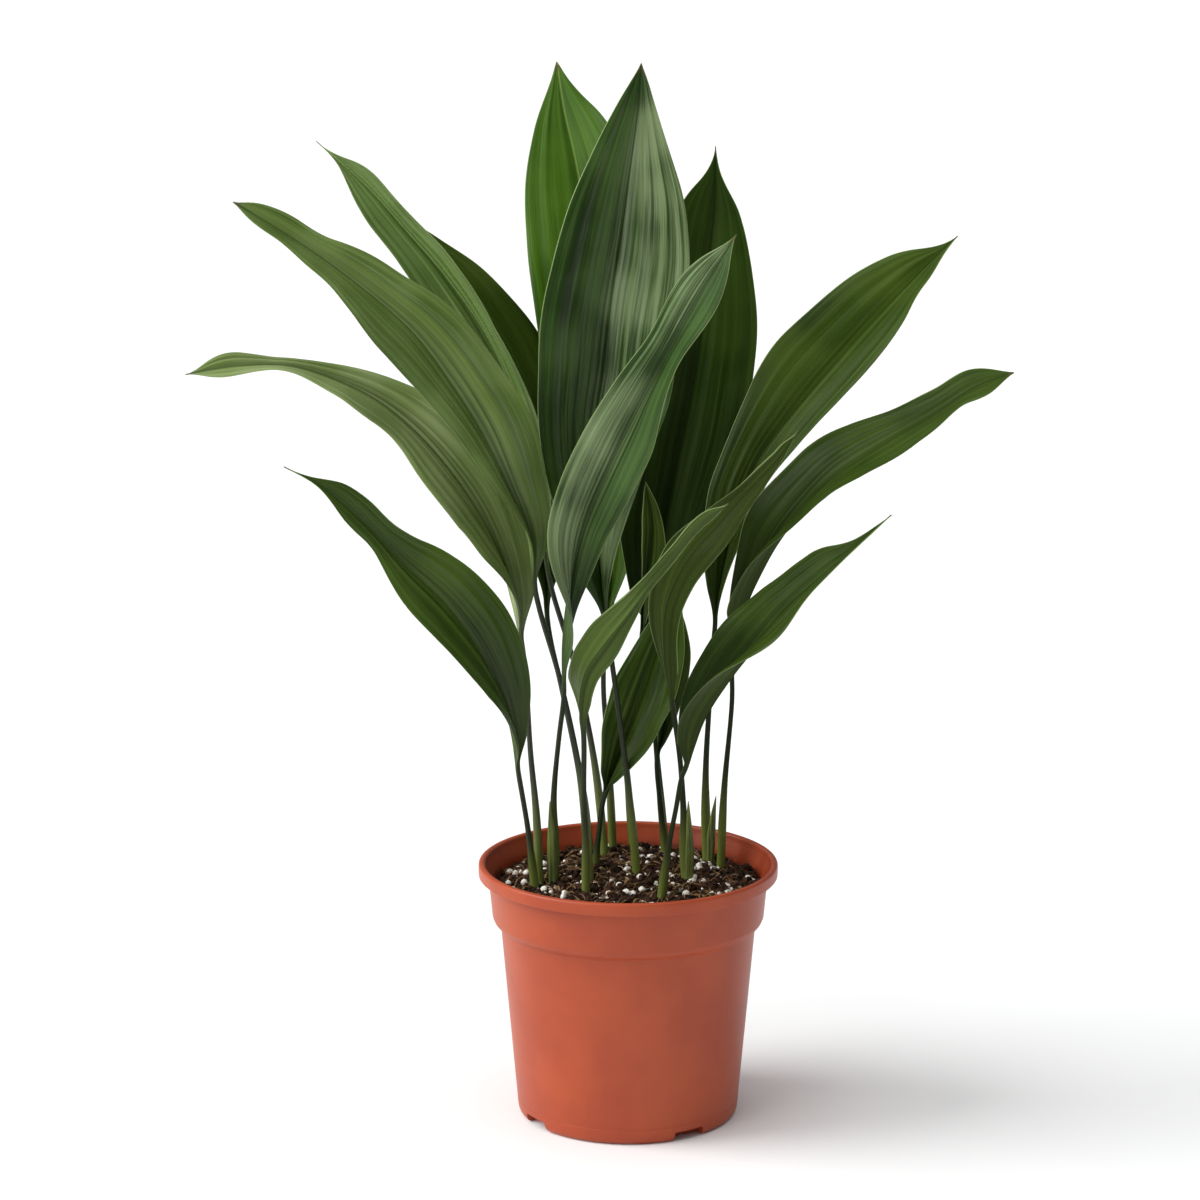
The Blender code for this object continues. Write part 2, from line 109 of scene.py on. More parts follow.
class Shade:
    """A Principled material under construction, with short names for the sums it needs."""

    def __init__(self, name: str) -> None:
        """Start an empty material with a Principled shader.

        Args:
            name: the material's name.
        """
        self.material = bpy.data.materials.new(name)
        self.material.use_nodes = True
        self.tree = self.material.node_tree
        self.shader = self.tree.nodes["Principled BSDF"]

    def math(self, operation: str, first: Any, second: Any = 0.0, clamp: bool = False) -> Any:
        """Return the result socket of one sum."""
        settings = {"operation": operation, "use_clamp": clamp}
        return add_node(self.tree, "ShaderNodeMath", settings, _0=first, _1=second).outputs[0]

    def ramp(self, value: Any, low: float, high: float, to_low: float = 0.0, to_high: float = 1.0) -> Any:
        """Carry a value smoothly from one range to another, held at its ends.

        Args:
            value: the socket to read.
            low: where the first range starts.
            high: where it ends.
            to_low: the result at low and under it.
            to_high: the result at high and over it.

        Returns:
            The result socket.
        """
        settings = {"interpolation_type": "SMOOTHSTEP"}
        node = add_node(self.tree, "ShaderNodeMapRange", settings, _0=value)
        for slot, number in ((1, low), (2, high), (3, to_low), (4, to_high)):
            node.inputs[slot].default_value = number
        return node.outputs[0]

    def mix(self, share: Any, first: Any, second: Any) -> Any:
        """Mix two colours.

        Args:
            share: the second colour's share, a socket or a number.
            first: a hex code, a colour or a socket.
            second: the same.

        Returns:
            The mixed colour's socket.
        """
        first = linear(first) if isinstance(first, str) else first
        second = linear(second) if isinstance(second, str) else second
        node = add_node(
            self.tree, "ShaderNodeMix", {"data_type": "RGBA"}, _0=share, _6=first, _7=second
        )
        return node.outputs[2]

    def noise(self, where: Any, scale: float, detail: float = 2.0, rough: float = 0.5) -> Any:
        """Add a noise pattern.

        Args:
            where: the coordinates that it is read at.
            scale: lumps for each unit of them.
            detail: how many finer layers it has.
            rough: the strength of each finer layer.

        Returns:
            The pattern's value socket, about 0.5 on average.
        """
        node = add_node(
            self.tree, "ShaderNodeTexNoise", None, Vector=where, Scale=scale, Detail=detail,
            Roughness=rough,
        )
        return node.outputs["Fac"]

    def attribute(self, name: str) -> Any:
        """Return a number that the mesh carries."""
        node = add_node(self.tree, "ShaderNodeAttribute", {"attribute_name": name})
        return node.outputs["Fac"]

    def place(self) -> Any:
        """Return the object coordinates."""
        return add_node(self.tree, "ShaderNodeTexCoord").outputs["Object"]

    def bump(self, height: Any, deep: float, strength: float = 1.0) -> None:
        """Give the shader a bump.

        Args:
            height: the pattern.
            deep: the height of the pattern in metres.
            strength: the share of it to use.
        """
        node = add_node(
            self.tree, "ShaderNodeBump", None, Height=height, Distance=deep, Strength=strength
        )
        self.tree.links.new(node.outputs[0], self.shader.inputs["Normal"])

    def finish(self, colour: Any, roughness: Any, **constants: Any) -> Any:
        """Give the shader its colour and roughness, and its constants on its own sockets.

        Args:
            colour: a socket or a hex code.
            roughness: a socket or a number.
            constants: other inputs of the shader, with underscores for spaces.

        Returns:
            The finished material.
        """
        values = {"Base_Color": colour, "Roughness": roughness, **constants}
        for key, value in values.items():
            socket = self.shader.inputs[key.replace("_", " ")]
            if isinstance(value, bpy.types.NodeSocket):
                self.tree.links.new(value, socket)
            else:
                socket.default_value = linear(value) if isinstance(value, str) else value
        return self.material


# ---------------------------------------------------------------------------------------------
# Mesh helpers
# ---------------------------------------------------------------------------------------------


def piece_from(
    bm: Any, name: str, look: Any, nodes: Sequence[str] = (), crease: float = 40.0
) -> Any:
    """Turn a bmesh into a finished piece that rides on the root body.

    Args:
        bm: the bmesh, which is freed.
        name: the piece's name.
        look: its material.
        nodes: the CAD nodes that it stands for.
        crease: the angle in degrees past which an edge stays sharp.

    Returns:
        The new object.
    """
    mesh = bpy.data.meshes.new(name)
    bm.to_mesh(mesh)
    bm.free()
    return piece_of_mesh(mesh, name, look, nodes, crease)


def piece_of_mesh(
    mesh: Any, name: str, look: Any, nodes: Sequence[str] = (), crease: float = 40.0
) -> Any:
    """Link a mesh as a finished piece that rides on the root body.

    Args:
        mesh: the mesh.
        name: the piece's name.
        look: its material.
        nodes: the CAD nodes that it stands for.
        crease: the angle in degrees past which an edge stays sharp.

    Returns:
        The new object.
    """
    mesh.materials.clear()
    mesh.materials.append(look)
    mesh.shade_smooth()
    if crease < NEVER_SHARP:
        mesh.set_sharp_from_angle(angle=math.radians(crease))
    made = bpy.data.objects.new(name, mesh)
    bpy.context.scene.collection.objects.link(made)
    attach(made, BODY)
    if nodes:
        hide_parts(*nodes)
    LOG.info("%s: %d faces", name, len(mesh.polygons))
    return made


def rounded(corners: Sequence[Point], steps: int = 4) -> list[Pair]:
    """Round the corners of an open outline.

    Args:
        corners: (radius, height, rounding) rows in mm.
        steps: pieces in each rounding.

    Returns:
        The outline's points in mm.
    """
    most_of_side = 0.48
    points: list[Pair] = []
    for i, (x, z, size) in enumerate(corners):
        here = Vector((x, z))
        if size <= 0 or i in (0, len(corners) - 1):
            points.append((x, z))
            continue
        before = Vector(corners[i - 1][:2]) - here
        after = Vector(corners[i + 1][:2]) - here
        size = min(size, before.length * most_of_side, after.length * most_of_side)
        start, end = here + before.normalized() * size, here + after.normalized() * size
        for step in range(steps + 1):
            s = step / steps
            spot = start * (1 - s) ** 2 + here * (2 * s * (1 - s)) + end * s**2
            points.append((spot.x, spot.y))
    return points


def turned(outline: Sequence[Pair], steps: int) -> Any:
    """Spin an outline that starts and ends on the axis into a closed solid.

    Args:
        outline: (radius, height) in mm.
        steps: facets round the axis.

    Returns:
        The bmesh.
    """
    bm = bmesh.new()
    verts = [bm.verts.new((radius * MM, 0, height * MM)) for radius, height in outline]
    edges = [bm.edges.new(pair) for pair in zip(verts, verts[1:])]
    bmesh.ops.spin(
        bm, geom=verts + edges, cent=(0, 0, 0), axis=(0, 0, 1), angle=math.tau, steps=steps,
        use_merge=True, use_duplicate=False,
    )
    bmesh.ops.remove_doubles(bm, verts=bm.verts, dist=WELD)
    bmesh.ops.recalc_face_normals(bm, faces=bm.faces)
    return bm


# ---------------------------------------------------------------------------------------------
# Pot
# ---------------------------------------------------------------------------------------------


@dataclass(frozen=True)
class MouldedPolypropylene:
    """Injection-moulded polypropylene: a satin skin with faint flow marks and soft highlights.

    The skin is nearly plain, so the eye sees broad soft highlights, slight clouds of colour, and
    peat smeared on the inner wall just above the soil. The clouds are about flow_mm across and the
    skin's grain grain_mm. In metres, the smear keeps inside the radius smear_wall, above smear_foot
    and below smear_top, and fades between each pair.
    """

    lit: str = "#AA4824"
    deep: str = "#A04020"
    dust: str = "#5A3324"
    roughness: float = 0.42
    grain_mm: float = 0.9
    flow_mm: float = 45.0
    ring_scale: Point = (60.0, 60.0, 900.0)
    smear_wall: Pair = (0.0776, 0.0781)
    smear_foot: Pair = (0.1270, 0.1310)
    smear_top: Pair = (0.1350, 0.1400)
    smear_share: float = 0.75

    def material(self) -> Any:
        """Return the material.

        Returns:
            The finished material.
        """
        shade = Shade("moulded_polypropylene")
        place = shade.place()
        clouds = shade.noise(place, 1000 / self.flow_mm, 3.0, 0.55)
        grain = shade.noise(place, 1000 / self.grain_mm, 2.0, 0.6)
        squeeze = add_node(shade.tree, "ShaderNodeMapping", None, Vector=place)
        squeeze.inputs["Scale"].default_value = self.ring_scale
        rings = shade.noise(squeeze.outputs[0], 1.0, 2.0)
        colour = shade.mix(shade.ramp(clouds, 0.35, 0.65), self.deep, self.lit)
        split = add_node(shade.tree, "ShaderNodeSeparateXYZ", None, Vector=place)
        across = shade.math("POWER", split.outputs[0], 2.0)
        along = shade.math("POWER", split.outputs[1], 2.0)
        radius = shade.math("SQRT", shade.math("ADD", across, along))
        inside = shade.ramp(radius, *self.smear_wall, 1.0, 0.0)
        low = shade.ramp(split.outputs[2], *self.smear_top, 1.0, 0.0)
        inside = shade.math("MULTIPLY", inside, shade.ramp(split.outputs[2], *self.smear_foot))
        smear = shade.ramp(shade.noise(place, 220.0, 3.0), 0.40, 0.66)
        dusty = shade.math("MULTIPLY", shade.math("MULTIPLY", inside, low), smear)
        colour = shade.mix(shade.math("MULTIPLY", dusty, self.smear_share), colour, self.dust)
        shine = shade.math("ADD", shade.math("MULTIPLY", rings, 0.10), self.roughness - 0.05)
        shine = shade.math("ADD", shine, shade.math("MULTIPLY", dusty, 0.3))
        height = shade.math("ADD", shade.math("MULTIPLY", grain, 0.6), rings)
        shade.bump(height, 0.00003, 0.6)
        return shade.finish(colour, shine, IOR=1.49, Specular_IOR_Level=0.40)


@dataclass
class NurseryPot:
    """A 17 cm nursery pot: rolled rim, wide band, tapering body and a notched foot.

    Sizes are radii and heights in mm, and the turns of the notches are in degrees from the front.
    Each drain is a hole at a distance from the axis, turned so far on from its notch.
    """

    height: float = 147.0
    rim: float = 85.0
    band_top: float = 79.3
    band_foot: float = 77.2
    body_top: float = 72.5
    foot: float = 62.8
    ledge: float = 52.2
    wall: float = 1.6
    base: float = 2.0
    notch_width: float = 21.0
    notch_height: float = 5.4
    notch_depth: float = 9.0
    notch_reach: float = 64.0
    notch_below: float = 3.0
    notch_taper: Pair = (1.03, 0.88)
    notch_rounding: float = 0.8
    notch_turns: tuple[float, ...] = (33.0, 123.0, 213.0, 303.0)
    drain: float = 4.0
    drains: tuple[Pair, ...] = ((58.2, 0.0), (32.0, 45.0))
    drain_middle: float = 5.0
    drain_length: float = 20.0
    steps: int = 256
    crease: float = 38.0
    look: MouldedPolypropylene = field(default_factory=MouldedPolypropylene)

    def section(self) -> list[Pair]:
        """Draw the section, from the axis inside, over the rim and back to the axis below.

        Returns:
            The section's (radius, height) points in mm.
        """
        wall, top = self.wall, self.height
        return rounded(
            [
                (0, self.base, 0), (self.ledge, self.base, 0.4),
                (self.ledge, self.notch_height + self.base, 0.5),
                (self.foot - wall, self.notch_height + self.base, 1.0),
                (self.body_top - wall, 109.0, 2.0), (self.band_foot - wall, 115.5, 2.0),
                (self.band_top - wall, 136.0, 3.0), (80.6, 143.6, 1.6), (81.2, top - 0.7, 0.9),
                (82.7, top + 0.1, 1.0), (self.rim - 0.1, top - 0.5, 1.3), (self.rim, 143.2, 1.0),
                (84.9, 139.7, 0.45), (82.0, 139.2, 0.4), (80.1, 139.5, 0.5),
                (self.band_top, 138.3, 0.8),
                (self.band_foot, 116.0, 0.5), (76.2, 113.6, 0.5), (self.body_top, 110.6, 0.5),
                (self.foot + 0.75, 9.3, 0.3), (self.foot + 0.5, 8.9, 0.2), (self.foot + 0.7, 8.4, 0.3),
                (self.foot + 0.15, 2.2, 1.6), (self.foot - 1.6, 0, 0.9), (0, 0, 0),
            ]
        )

    def cutter(self) -> Any:
        """Return one mesh that holds the notches and the drain holes.

        Returns:
            An object that the Boolean takes away.
        """
        bm = bmesh.new()
        wide, narrow = self.notch_taper
        tall = self.notch_height + self.notch_below
        outwards = Matrix.Translation((0, -self.notch_reach * MM, 0))
        for turn in self.notch_turns:
            block = bmesh.ops.create_cube(bm, size=1)["verts"]
            for vert in block:
                vert.co.x *= self.notch_width * (narrow if vert.co.z > 0 else wide) * MM
                vert.co.y *= 2 * self.notch_depth * MM
                vert.co.z = (vert.co.z + 0.5) * tall * MM - self.notch_below * MM
            upright_or_top = {
                edge for vert in block for edge in vert.link_edges
                if abs(edge.verts[0].co.z - edge.verts[1].co.z) > MM or edge.verts[0].co.z > MM
            }
            shaped = bmesh.ops.bevel(
                bm, geom=list(upright_or_top), offset=self.notch_rounding * MM, segments=3,
                profile=0.5, affect="EDGES", material=-1,
            )["verts"]
            notch = set(shaped) | {vert for vert in block if vert.is_valid}
            spin = Matrix.Rotation(math.radians(turn), 4, "Z")
            bmesh.ops.transform(bm, matrix=spin @ outwards, verts=list(notch))
            for out, more in self.drains:
                angle = math.radians(turn + more)
                away = out * MM
                spot = (away * math.sin(angle), -away * math.cos(angle), self.drain_middle * MM)
                bmesh.ops.create_cone(
                    bm, cap_ends=True, segments=40, depth=self.drain_length * MM,
                    radius1=self.drain * MM, radius2=self.drain * MM, matrix=Matrix.Translation(spot),
                )
        bmesh.ops.recalc_face_normals(bm, faces=bm.faces)
        mesh = bpy.data.meshes.new("pot_cuts")
        bm.to_mesh(mesh)
        bm.free()
        made = bpy.data.objects.new("pot_cuts", mesh)
        bpy.context.scene.collection.objects.link(made)
        return made

    def build(self) -> Any:
        """Turn the pot, cut its foot and dress it.

        Returns:
            The pot.
        """
        mesh = bpy.data.meshes.new("pot_turned")
        bm = turned(self.section(), self.steps)
        bm.to_mesh(mesh)
        bm.free()
        blank = bpy.data.objects.new("pot_turned", mesh)
        bpy.context.scene.collection.objects.link(blank)
        cutter = self.cutter()
        step = blank.modifiers.new("foot", "BOOLEAN")
        step.operation, step.solver, step.object = "DIFFERENCE", "EXACT", cutter
        step.use_self = True
        graph = bpy.context.evaluated_depsgraph_get()
        cut = bpy.data.meshes.new_from_object(blank.evaluated_get(graph))
        for helper in (blank, cutter):
            bpy.data.objects.remove(helper, do_unlink=True)
        return piece_of_mesh(cut, "nursery_pot", self.look.material(), ("pot",), self.crease)


# ---------------------------------------------------------------------------------------------
# Soil
# ---------------------------------------------------------------------------------------------


@dataclass(frozen=True)
class DampPeat:
    """Milled peat, composted bark and fibre, all damp: nearly black in the hollows, browner on top.

    Lumps of about lump_mm and crumbs of about crumb_mm carry the colours, and the dark hollows
    shine a little more than the lighter lumps.
    """

    name: str
    dark: str
    light: str
    fleck: str
    roughness: float = 0.92
    lump_mm: float = 5.0
    crumb_mm: float = 1.2

    def material(self) -> Any:
        """Return the material.

        Returns:
            The finished material.
        """
        shade = Shade(self.name)
        place = shade.place()
        lumps = shade.noise(place, 1000 / self.lump_mm, 3.0, 0.6)
        crumbs = shade.noise(place, 1000 / self.crumb_mm, 3.0, 0.65)
        colour = shade.mix(shade.ramp(lumps, 0.36, 0.66), self.dark, self.light)
        colour = shade.mix(shade.ramp(crumbs, 0.56, 0.74, 0.0, 0.6), colour, self.fleck)
        damp = shade.ramp(lumps, 0.4, 0.7, self.roughness - 0.22, self.roughness)
        shade.bump(crumbs, 0.0005, 0.8)
        return shade.finish(colour, damp, IOR=1.4, Specular_IOR_Level=0.2)


@dataclass(frozen=True)
class ExpandedPerlite:
    """Expanded perlite: glass popped by heat into chalky white beads, with peat in their pores."""

    light: str = "#E9E5DC"
    dusty: str = "#9C9284"
    stain_scale: float = 330.0
    pore_scale: float = 1600.0

    def material(self) -> Any:
        """Return the material.

        Returns:
            The finished material.
        """
        shade = Shade("expanded_perlite")
        place = shade.place()
        stain = shade.noise(place, self.stain_scale, 3.0, 0.6)
        pores = shade.noise(place, self.pore_scale, 2.0, 0.5)
        colour = shade.mix(shade.ramp(stain, 0.50, 0.72), self.light, self.dusty)
        shade.bump(pores, 0.0003, 0.7)
        return shade.finish(colour, 0.85, IOR=1.45)


@dataclass
class PottingSoil:
    """The bed of soil and everything that lies loose in it."""

    middle: float = 138.0
    edge: float = 134.0
    radius: float = 75.4
    floor: float = 118.0
    floor_radius: float = 70.6
    rings: int = 84
    steps: int = 288

    GRAIN_KINDS: ClassVar[int] = 9
    THREAD_STEPS: ClassVar[int] = 9
    THREAD_SIDES: ClassVar[int] = 5
    THREAD_TIP: ClassVar[float] = 0.35

    def height(self, x: float, y: float) -> float:
        """Work out how high the soil stands, from a low mound and three sizes of lumps.

        Args:
            x: mm to the right of the axis.
            y: mm behind the axis.

        Returns:
            The height in mm.
        """
        away = min(math.hypot(x, y) / self.radius, 1.0)
        mound = self.middle + (self.edge - self.middle) * away**2.2
        place = Vector((x, y, 3.7))
        big = noise.noise(place * 0.055) * 2.3
        mid = noise.noise(place * 0.17 + Vector((7, 2, 1))) * 1.5
        fine = noise.noise(place * 0.5 + Vector((3, 9, 4))) * 0.7
        return mound + big + mid + fine - 0.6

    def bed(self) -> Any:
        """Return the rough bed.

        Returns:
            The piece.
        """
        outline = [(self.radius * i / self.rings, self.middle) for i in range(self.rings + 1)]
        outline += [(self.radius - 0.8, self.middle - 9), (self.floor_radius, self.floor), (0, self.floor)]
        bm = turned(outline, self.steps)
        for vert in bm.verts:
            x, y = vert.co.x / MM, vert.co.y / MM
            if vert.co.z > (self.middle - 1) * MM:
                vert.co.z = self.height(x, y) * MM
        bmesh.ops.recalc_face_normals(bm, faces=bm.faces)
        look = DampPeat("damp_peat", "#120A06", "#36231A", "#5E4129").material()
        return piece_from(bm, "soil_bed", look, ("soil",), NEVER_SHARP)

    def grains(
        self, name: str, look: Any, count: int, sizes: Pair, squash: Pair, rough: float,
        sink: float, seed: int, reach: float = 0.96, crease: float = NEVER_SHARP,
    ) -> Any:
        """Scatter irregular grains over the bed as one piece.

        Args:
            name: the piece's name.
            look: its material.
            count: how many grains.
            sizes: smallest and largest radius in mm.
            squash: range of the height of a grain as a share of its width.
            rough: how far the grain's surface leaves a ball, as a share of its radius.
            sink: share of the radius that lies below the surface.
            seed: seed of the scatter.
            reach: the scatter's radius as a share of the bed's.
            crease: the angle in degrees past which an edge stays sharp.

        Returns:
            The piece.
        """
        dice = random.Random(seed)
        kinds = []
        for kind in range(self.GRAIN_KINDS):
            bm = bmesh.new()
            bmesh.ops.create_icosphere(bm, subdivisions=2, radius=1.0)
            for vert in bm.verts:
                push = noise.noise(vert.co * 1.4 + Vector((kind * 5.1, seed, 0)))
                push += 0.9 * noise.noise(vert.co * 3.1 + Vector((0, kind * 3.3, seed)))
                vert.co *= 1 + rough * push
            mesh = bpy.data.meshes.new(f"{name}_{kind}")
            bm.to_mesh(mesh)
            bm.free()
            kinds.append(mesh)
        heap = bmesh.new()
        for _ in range(count):
            out = self.radius * reach * math.sqrt(dice.random())
            turn = dice.uniform(0, math.tau)
            x, y = out * math.cos(turn), out * math.sin(turn)
            size = sizes[0] + (sizes[1] - sizes[0]) * dice.random() ** 2.2
            flat = dice.uniform(*squash)
            lift = self.height(x, y) + size * flat * (1 - 2 * sink)
            tilt = Matrix.Rotation(dice.gauss(0, 0.5), 4, "X")
            spin = Matrix.Rotation(dice.uniform(0, math.tau), 4, "Z")
            grow = Matrix.Diagonal((size * dice.uniform(0.8, 1.25) * MM, size * MM, size * flat * MM, 1))
            placed = Matrix.Translation((x * MM, y * MM, lift * MM)) @ spin @ tilt @ grow
            kind = dice.choice(kinds)
            kind.transform(placed)
            heap.from_mesh(kind)
            kind.transform(placed.inverted())
        for mesh in kinds:
            bpy.data.meshes.remove(mesh)
        return piece_from(heap, name, look, (), crease)

    def threads(
        self, name: str, look: Any, count: int, length: Pair, thick: Pair, seed: int, lift: float
    ) -> Any:
        """Lay curved fibres or rootlets over the bed as one piece.

        Args:
            name: the piece's name.
            look: its material.
            count: how many.
            length: shortest and longest in mm.
            thick: thinnest and thickest in mm.
            seed: seed of the scatter.
            lift: how far a thread's middle may stand off the soil in mm.

        Returns:
            The piece.
        """
        dice = random.Random(seed)
        heap = bmesh.new()
        for _ in range(count):
            out, turn = self.radius * 0.9 * math.sqrt(dice.random()), dice.uniform(0, math.tau)
            x, y = out * math.cos(turn), out * math.sin(turn)
            long, size = dice.uniform(*length), dice.uniform(*thick)
            heading, bend = dice.uniform(0, math.tau), dice.gauss(0, 0.35)
            rise = dice.uniform(0.1, 1.0) * lift
            steps = self.THREAD_STEPS
            ring = bmesh.ops.create_circle(
                heap, segments=self.THREAD_SIDES, radius=size / 2 * MM
            )["verts"]
            bmesh.ops.rotate(
                heap, verts=ring, cent=(0, 0, 0),
                matrix=Matrix.Rotation(math.pi / 2, 3, "Y"),
            )
            bmesh.ops.rotate(heap, verts=ring, cent=(0, 0, 0), matrix=Matrix.Rotation(heading, 3, "Z"))
            bmesh.ops.translate(
                heap, verts=ring, vec=(x * MM, y * MM, (self.height(x, y) + 0.1) * MM)
            )
            face = heap.faces.new(ring)
            z_before = self.height(x, y)
            for step in range(1, steps + 1):
                heading += bend / steps * 2 + dice.gauss(0, 0.12)
                dx, dy = math.cos(heading) * long / steps, math.sin(heading) * long / steps
                if math.hypot(x + dx, y + dy) > self.radius * 0.97:
                    heading += 2.0
                    dx, dy = math.cos(heading) * long / steps, math.sin(heading) * long / steps
                x, y = x + dx, y + dy
                z_now = self.height(x, y) + rise * math.sin(math.pi * step / steps)
                moved = bmesh.ops.extrude_face_region(heap, geom=[face])["geom"]
                verts = [item for item in moved if isinstance(item, bmesh.types.BMVert)]
                caps = [item for item in moved if isinstance(item, bmesh.types.BMFace)]
                if step > 1:
                    bmesh.ops.delete(heap, geom=[face], context="FACES_ONLY")
                bmesh.ops.translate(
                    heap, verts=verts, vec=(dx * MM, dy * MM, (z_now - z_before) * MM)
                )
                if step == steps:
                    middle = sum((v.co for v in verts), Vector()) / len(verts)
                    for vert in verts:
                        vert.co = middle + (vert.co - middle) * self.THREAD_TIP
                face, z_before = caps[0], z_now
        bmesh.ops.recalc_face_normals(heap, faces=heap.faces)
        return piece_from(heap, name, look, (), NEVER_SHARP)

    def build(self) -> None:
        """Make the bed and everything on it."""
        self.bed()
        crumb = DampPeat("peat_crumbs", "#170D07", "#412919", "#714E32").material()
        bark = DampPeat("composted_bark", "#2A1A11", "#5A3E2A", "#7D5D41", 0.8, 3.0, 0.8).material()
        straw = DampPeat("coir_fibre", "#5B4429", "#927249", "#B89A6C", 0.75, 2.5, 0.7).material()
        pulp = DampPeat("root_pulp", "#74614A", "#A49072", "#C8B896", 0.8, 3.0, 0.8).material()
        self.grains("peat_crumbs", crumb, 2300, (0.5, 2.9), (0.5, 1.0), 0.75, 0.30, 5, 0.985, 14.0)
        self.grains("bark_chips", bark, 260, (1.2, 4.4), (0.18, 0.45), 0.6, 0.22, 6, 0.96, 14.0)
        self.grains("root_pulp", pulp, 300, (0.4, 2.2), (0.3, 0.6), 0.7, 0.1, 7, 0.97, 20.0)
        self.grains(
            "perlite_beads", ExpandedPerlite().material(), 430, (0.4, 2.4), (0.75, 1.0), 0.26, 0.12, 8
        )
        self.threads("coir_fibres", straw, 280, (6, 20), (0.5, 1.25), 21, 3.0)
        self.threads("fine_rootlets", pulp, 110, (5, 16), (0.35, 0.75), 23, 4.0)


# ---------------------------------------------------------------------------------------------
# Leaves
# ---------------------------------------------------------------------------------------------


class Tone(Enum):
    """The greens that the leaves come in, by age and light."""

    DEEP = "deep"
    MID = "mid"
    BRIGHT = "bright"
    PALE = "pale"
    FRESH = "fresh"
    OLIVE = "olive"
    SUNNY = "sunny"
    GLOSSY = "glossy"
    SHADED = "shaded"


@dataclass(frozen=True)
class WaxyLeaf:
    """A waxy evergreen leaf, grown with parallel veins and a duller underside, with a painted highlight
    along its thin margin.

    The eye sees broad bands between deep and light, fine streaks of vein and painted shade in the
    creases. under is the underside's colour and rib the midrib's. gloss is the specular level, shaded
    how far the blade darkens towards its base, and the share after it how strongly a painted
    highlight covers the lit half.
    """

    HIGHLIGHT_COLOUR: ClassVar[str] = "#93A579"
    BASE_SHADE: ClassVar[str] = "#0E1B03"
    CREASE_SHADE: ClassVar[str] = "#0C1604"
    MARGIN_HIGHLIGHT: ClassVar[str] = "#8FA268"
    DRY_TIP: ClassVar[str] = "#574C30"
    STALK: ClassVar[tuple[str, str]] = ("#1E2418", "#2E361F")
    STALK_FOOT: ClassVar[tuple[str, str]] = ("#526425", "#7C843E")

    tone: Tone
    deep: str
    light: str
    vein: str
    under: str
    rib: str
    gloss: float
    roughness: float = 0.34
    shaded: float = 0.35
    highlight_share: float = 0.0

    def material(self) -> Any:
        """Return the material, which reads the numbers that the leaf's mesh carries.

        Returns:
            The finished material.
        """
        shade = Shade(f"waxy_leaf_{self.tone.value}")
        across = shade.attribute("across")
        along = shade.attribute("along")
        shift = shade.attribute("shift")
        under = shade.attribute("under")
        flow = add_node(
            shade.tree, "ShaderNodeCombineXYZ", None, _0=across,
            _1=shade.math("MULTIPLY", along, 0.16), _2=shift,
        ).outputs[0]
        broad = shade.noise(flow, 4.5, 2.0, 0.5)
        fine = shade.noise(flow, 22.0, 3.0, 0.65)
        clouds = shade.noise(shade.place(), 17.0, 2.0, 0.5)
        lines = shade.math("SINE", shade.math("MULTIPLY", across, 150.0))
        colour = shade.mix(shade.ramp(broad, 0.30, 0.70), self.deep, self.light)
        colour = shade.mix(shade.ramp(fine, 0.50, 0.70, 0.0, 0.42), colour, self.vein)
        colour = shade.mix(shade.ramp(fine, 0.28, 0.46, 0.45, 0.0), colour, self.deep)
        colour = shade.mix(shade.ramp(clouds, 0.42, 0.70, 0.0, 0.45), colour, self.vein)
        # The mask for the painted highlight: pale patches of the wax colour on the lit half of the blade.
        dull = shade.math("ADD", shade.math("MULTIPLY", clouds, 0.55), shade.math("MULTIPLY", fine, 0.45))
        right = shade.ramp(shade.attribute("lit"), -0.30, 0.15, 0.15, 1.0)
        painted_highlight = shade.math("MULTIPLY", shade.ramp(dull, 0.40, 0.63, 0.0, self.highlight_share), right)
        colour = shade.mix(painted_highlight, colour, self.HIGHLIGHT_COLOUR)
        colour = shade.mix(shade.ramp(along, 0.0, 0.62, self.shaded, 0.0), colour, self.BASE_SHADE)
        # Painted shade: the creases are darkened along their length.
        crease = shade.math("MULTIPLY", shade.attribute("crease"), 0.85, clamp=True)
        colour = shade.mix(crease, colour, shade.mix(0.5, self.deep, self.CREASE_SHADE))
        below = shade.mix(shade.ramp(broad, 0.3, 0.7, 0.0, 0.6), self.under, self.vein)
        colour = shade.mix(shade.math("MULTIPLY", under, 0.85), colour, below)
        rib = shade.ramp(shade.attribute("rib_mm"), 0.30, 0.95, 0.65, 0.0)
        colour = shade.mix(rib, colour, self.rib)
        # Painted highlight: a lighter line along the margin.
        edge = shade.ramp(shade.attribute("edge_mm"), 0.20, 0.62, 0.60, 0.0)
        colour = shade.mix(edge, colour, self.MARGIN_HIGHLIGHT)
        foot = shade.ramp(along, -0.92, -0.45, 1.0, 0.0)
        stalk = shade.mix(foot, shade.mix(broad, *self.STALK), shade.mix(fine, *self.STALK_FOOT))
        colour = shade.mix(shade.ramp(along, -0.02, 0.10), stalk, colour)
        tip = shade.ramp(along, 0.978, 0.996)
        colour = shade.mix(shade.math("MULTIPLY", tip, 0.8), colour, self.DRY_TIP)
        shine = shade.math("ADD", shade.math("MULTIPLY", broad, 0.26), self.roughness - 0.13)
        shine = shade.math("ADD", shine, shade.math("MULTIPLY", under, 0.20))
        height = shade.math("ADD", shade.math("MULTIPLY", lines, 0.07), fine)
        shade.bump(height, 0.00020, 0.7)
        return shade.finish(colour, shine, IOR=1.45, Specular_IOR_Level=self.gloss)


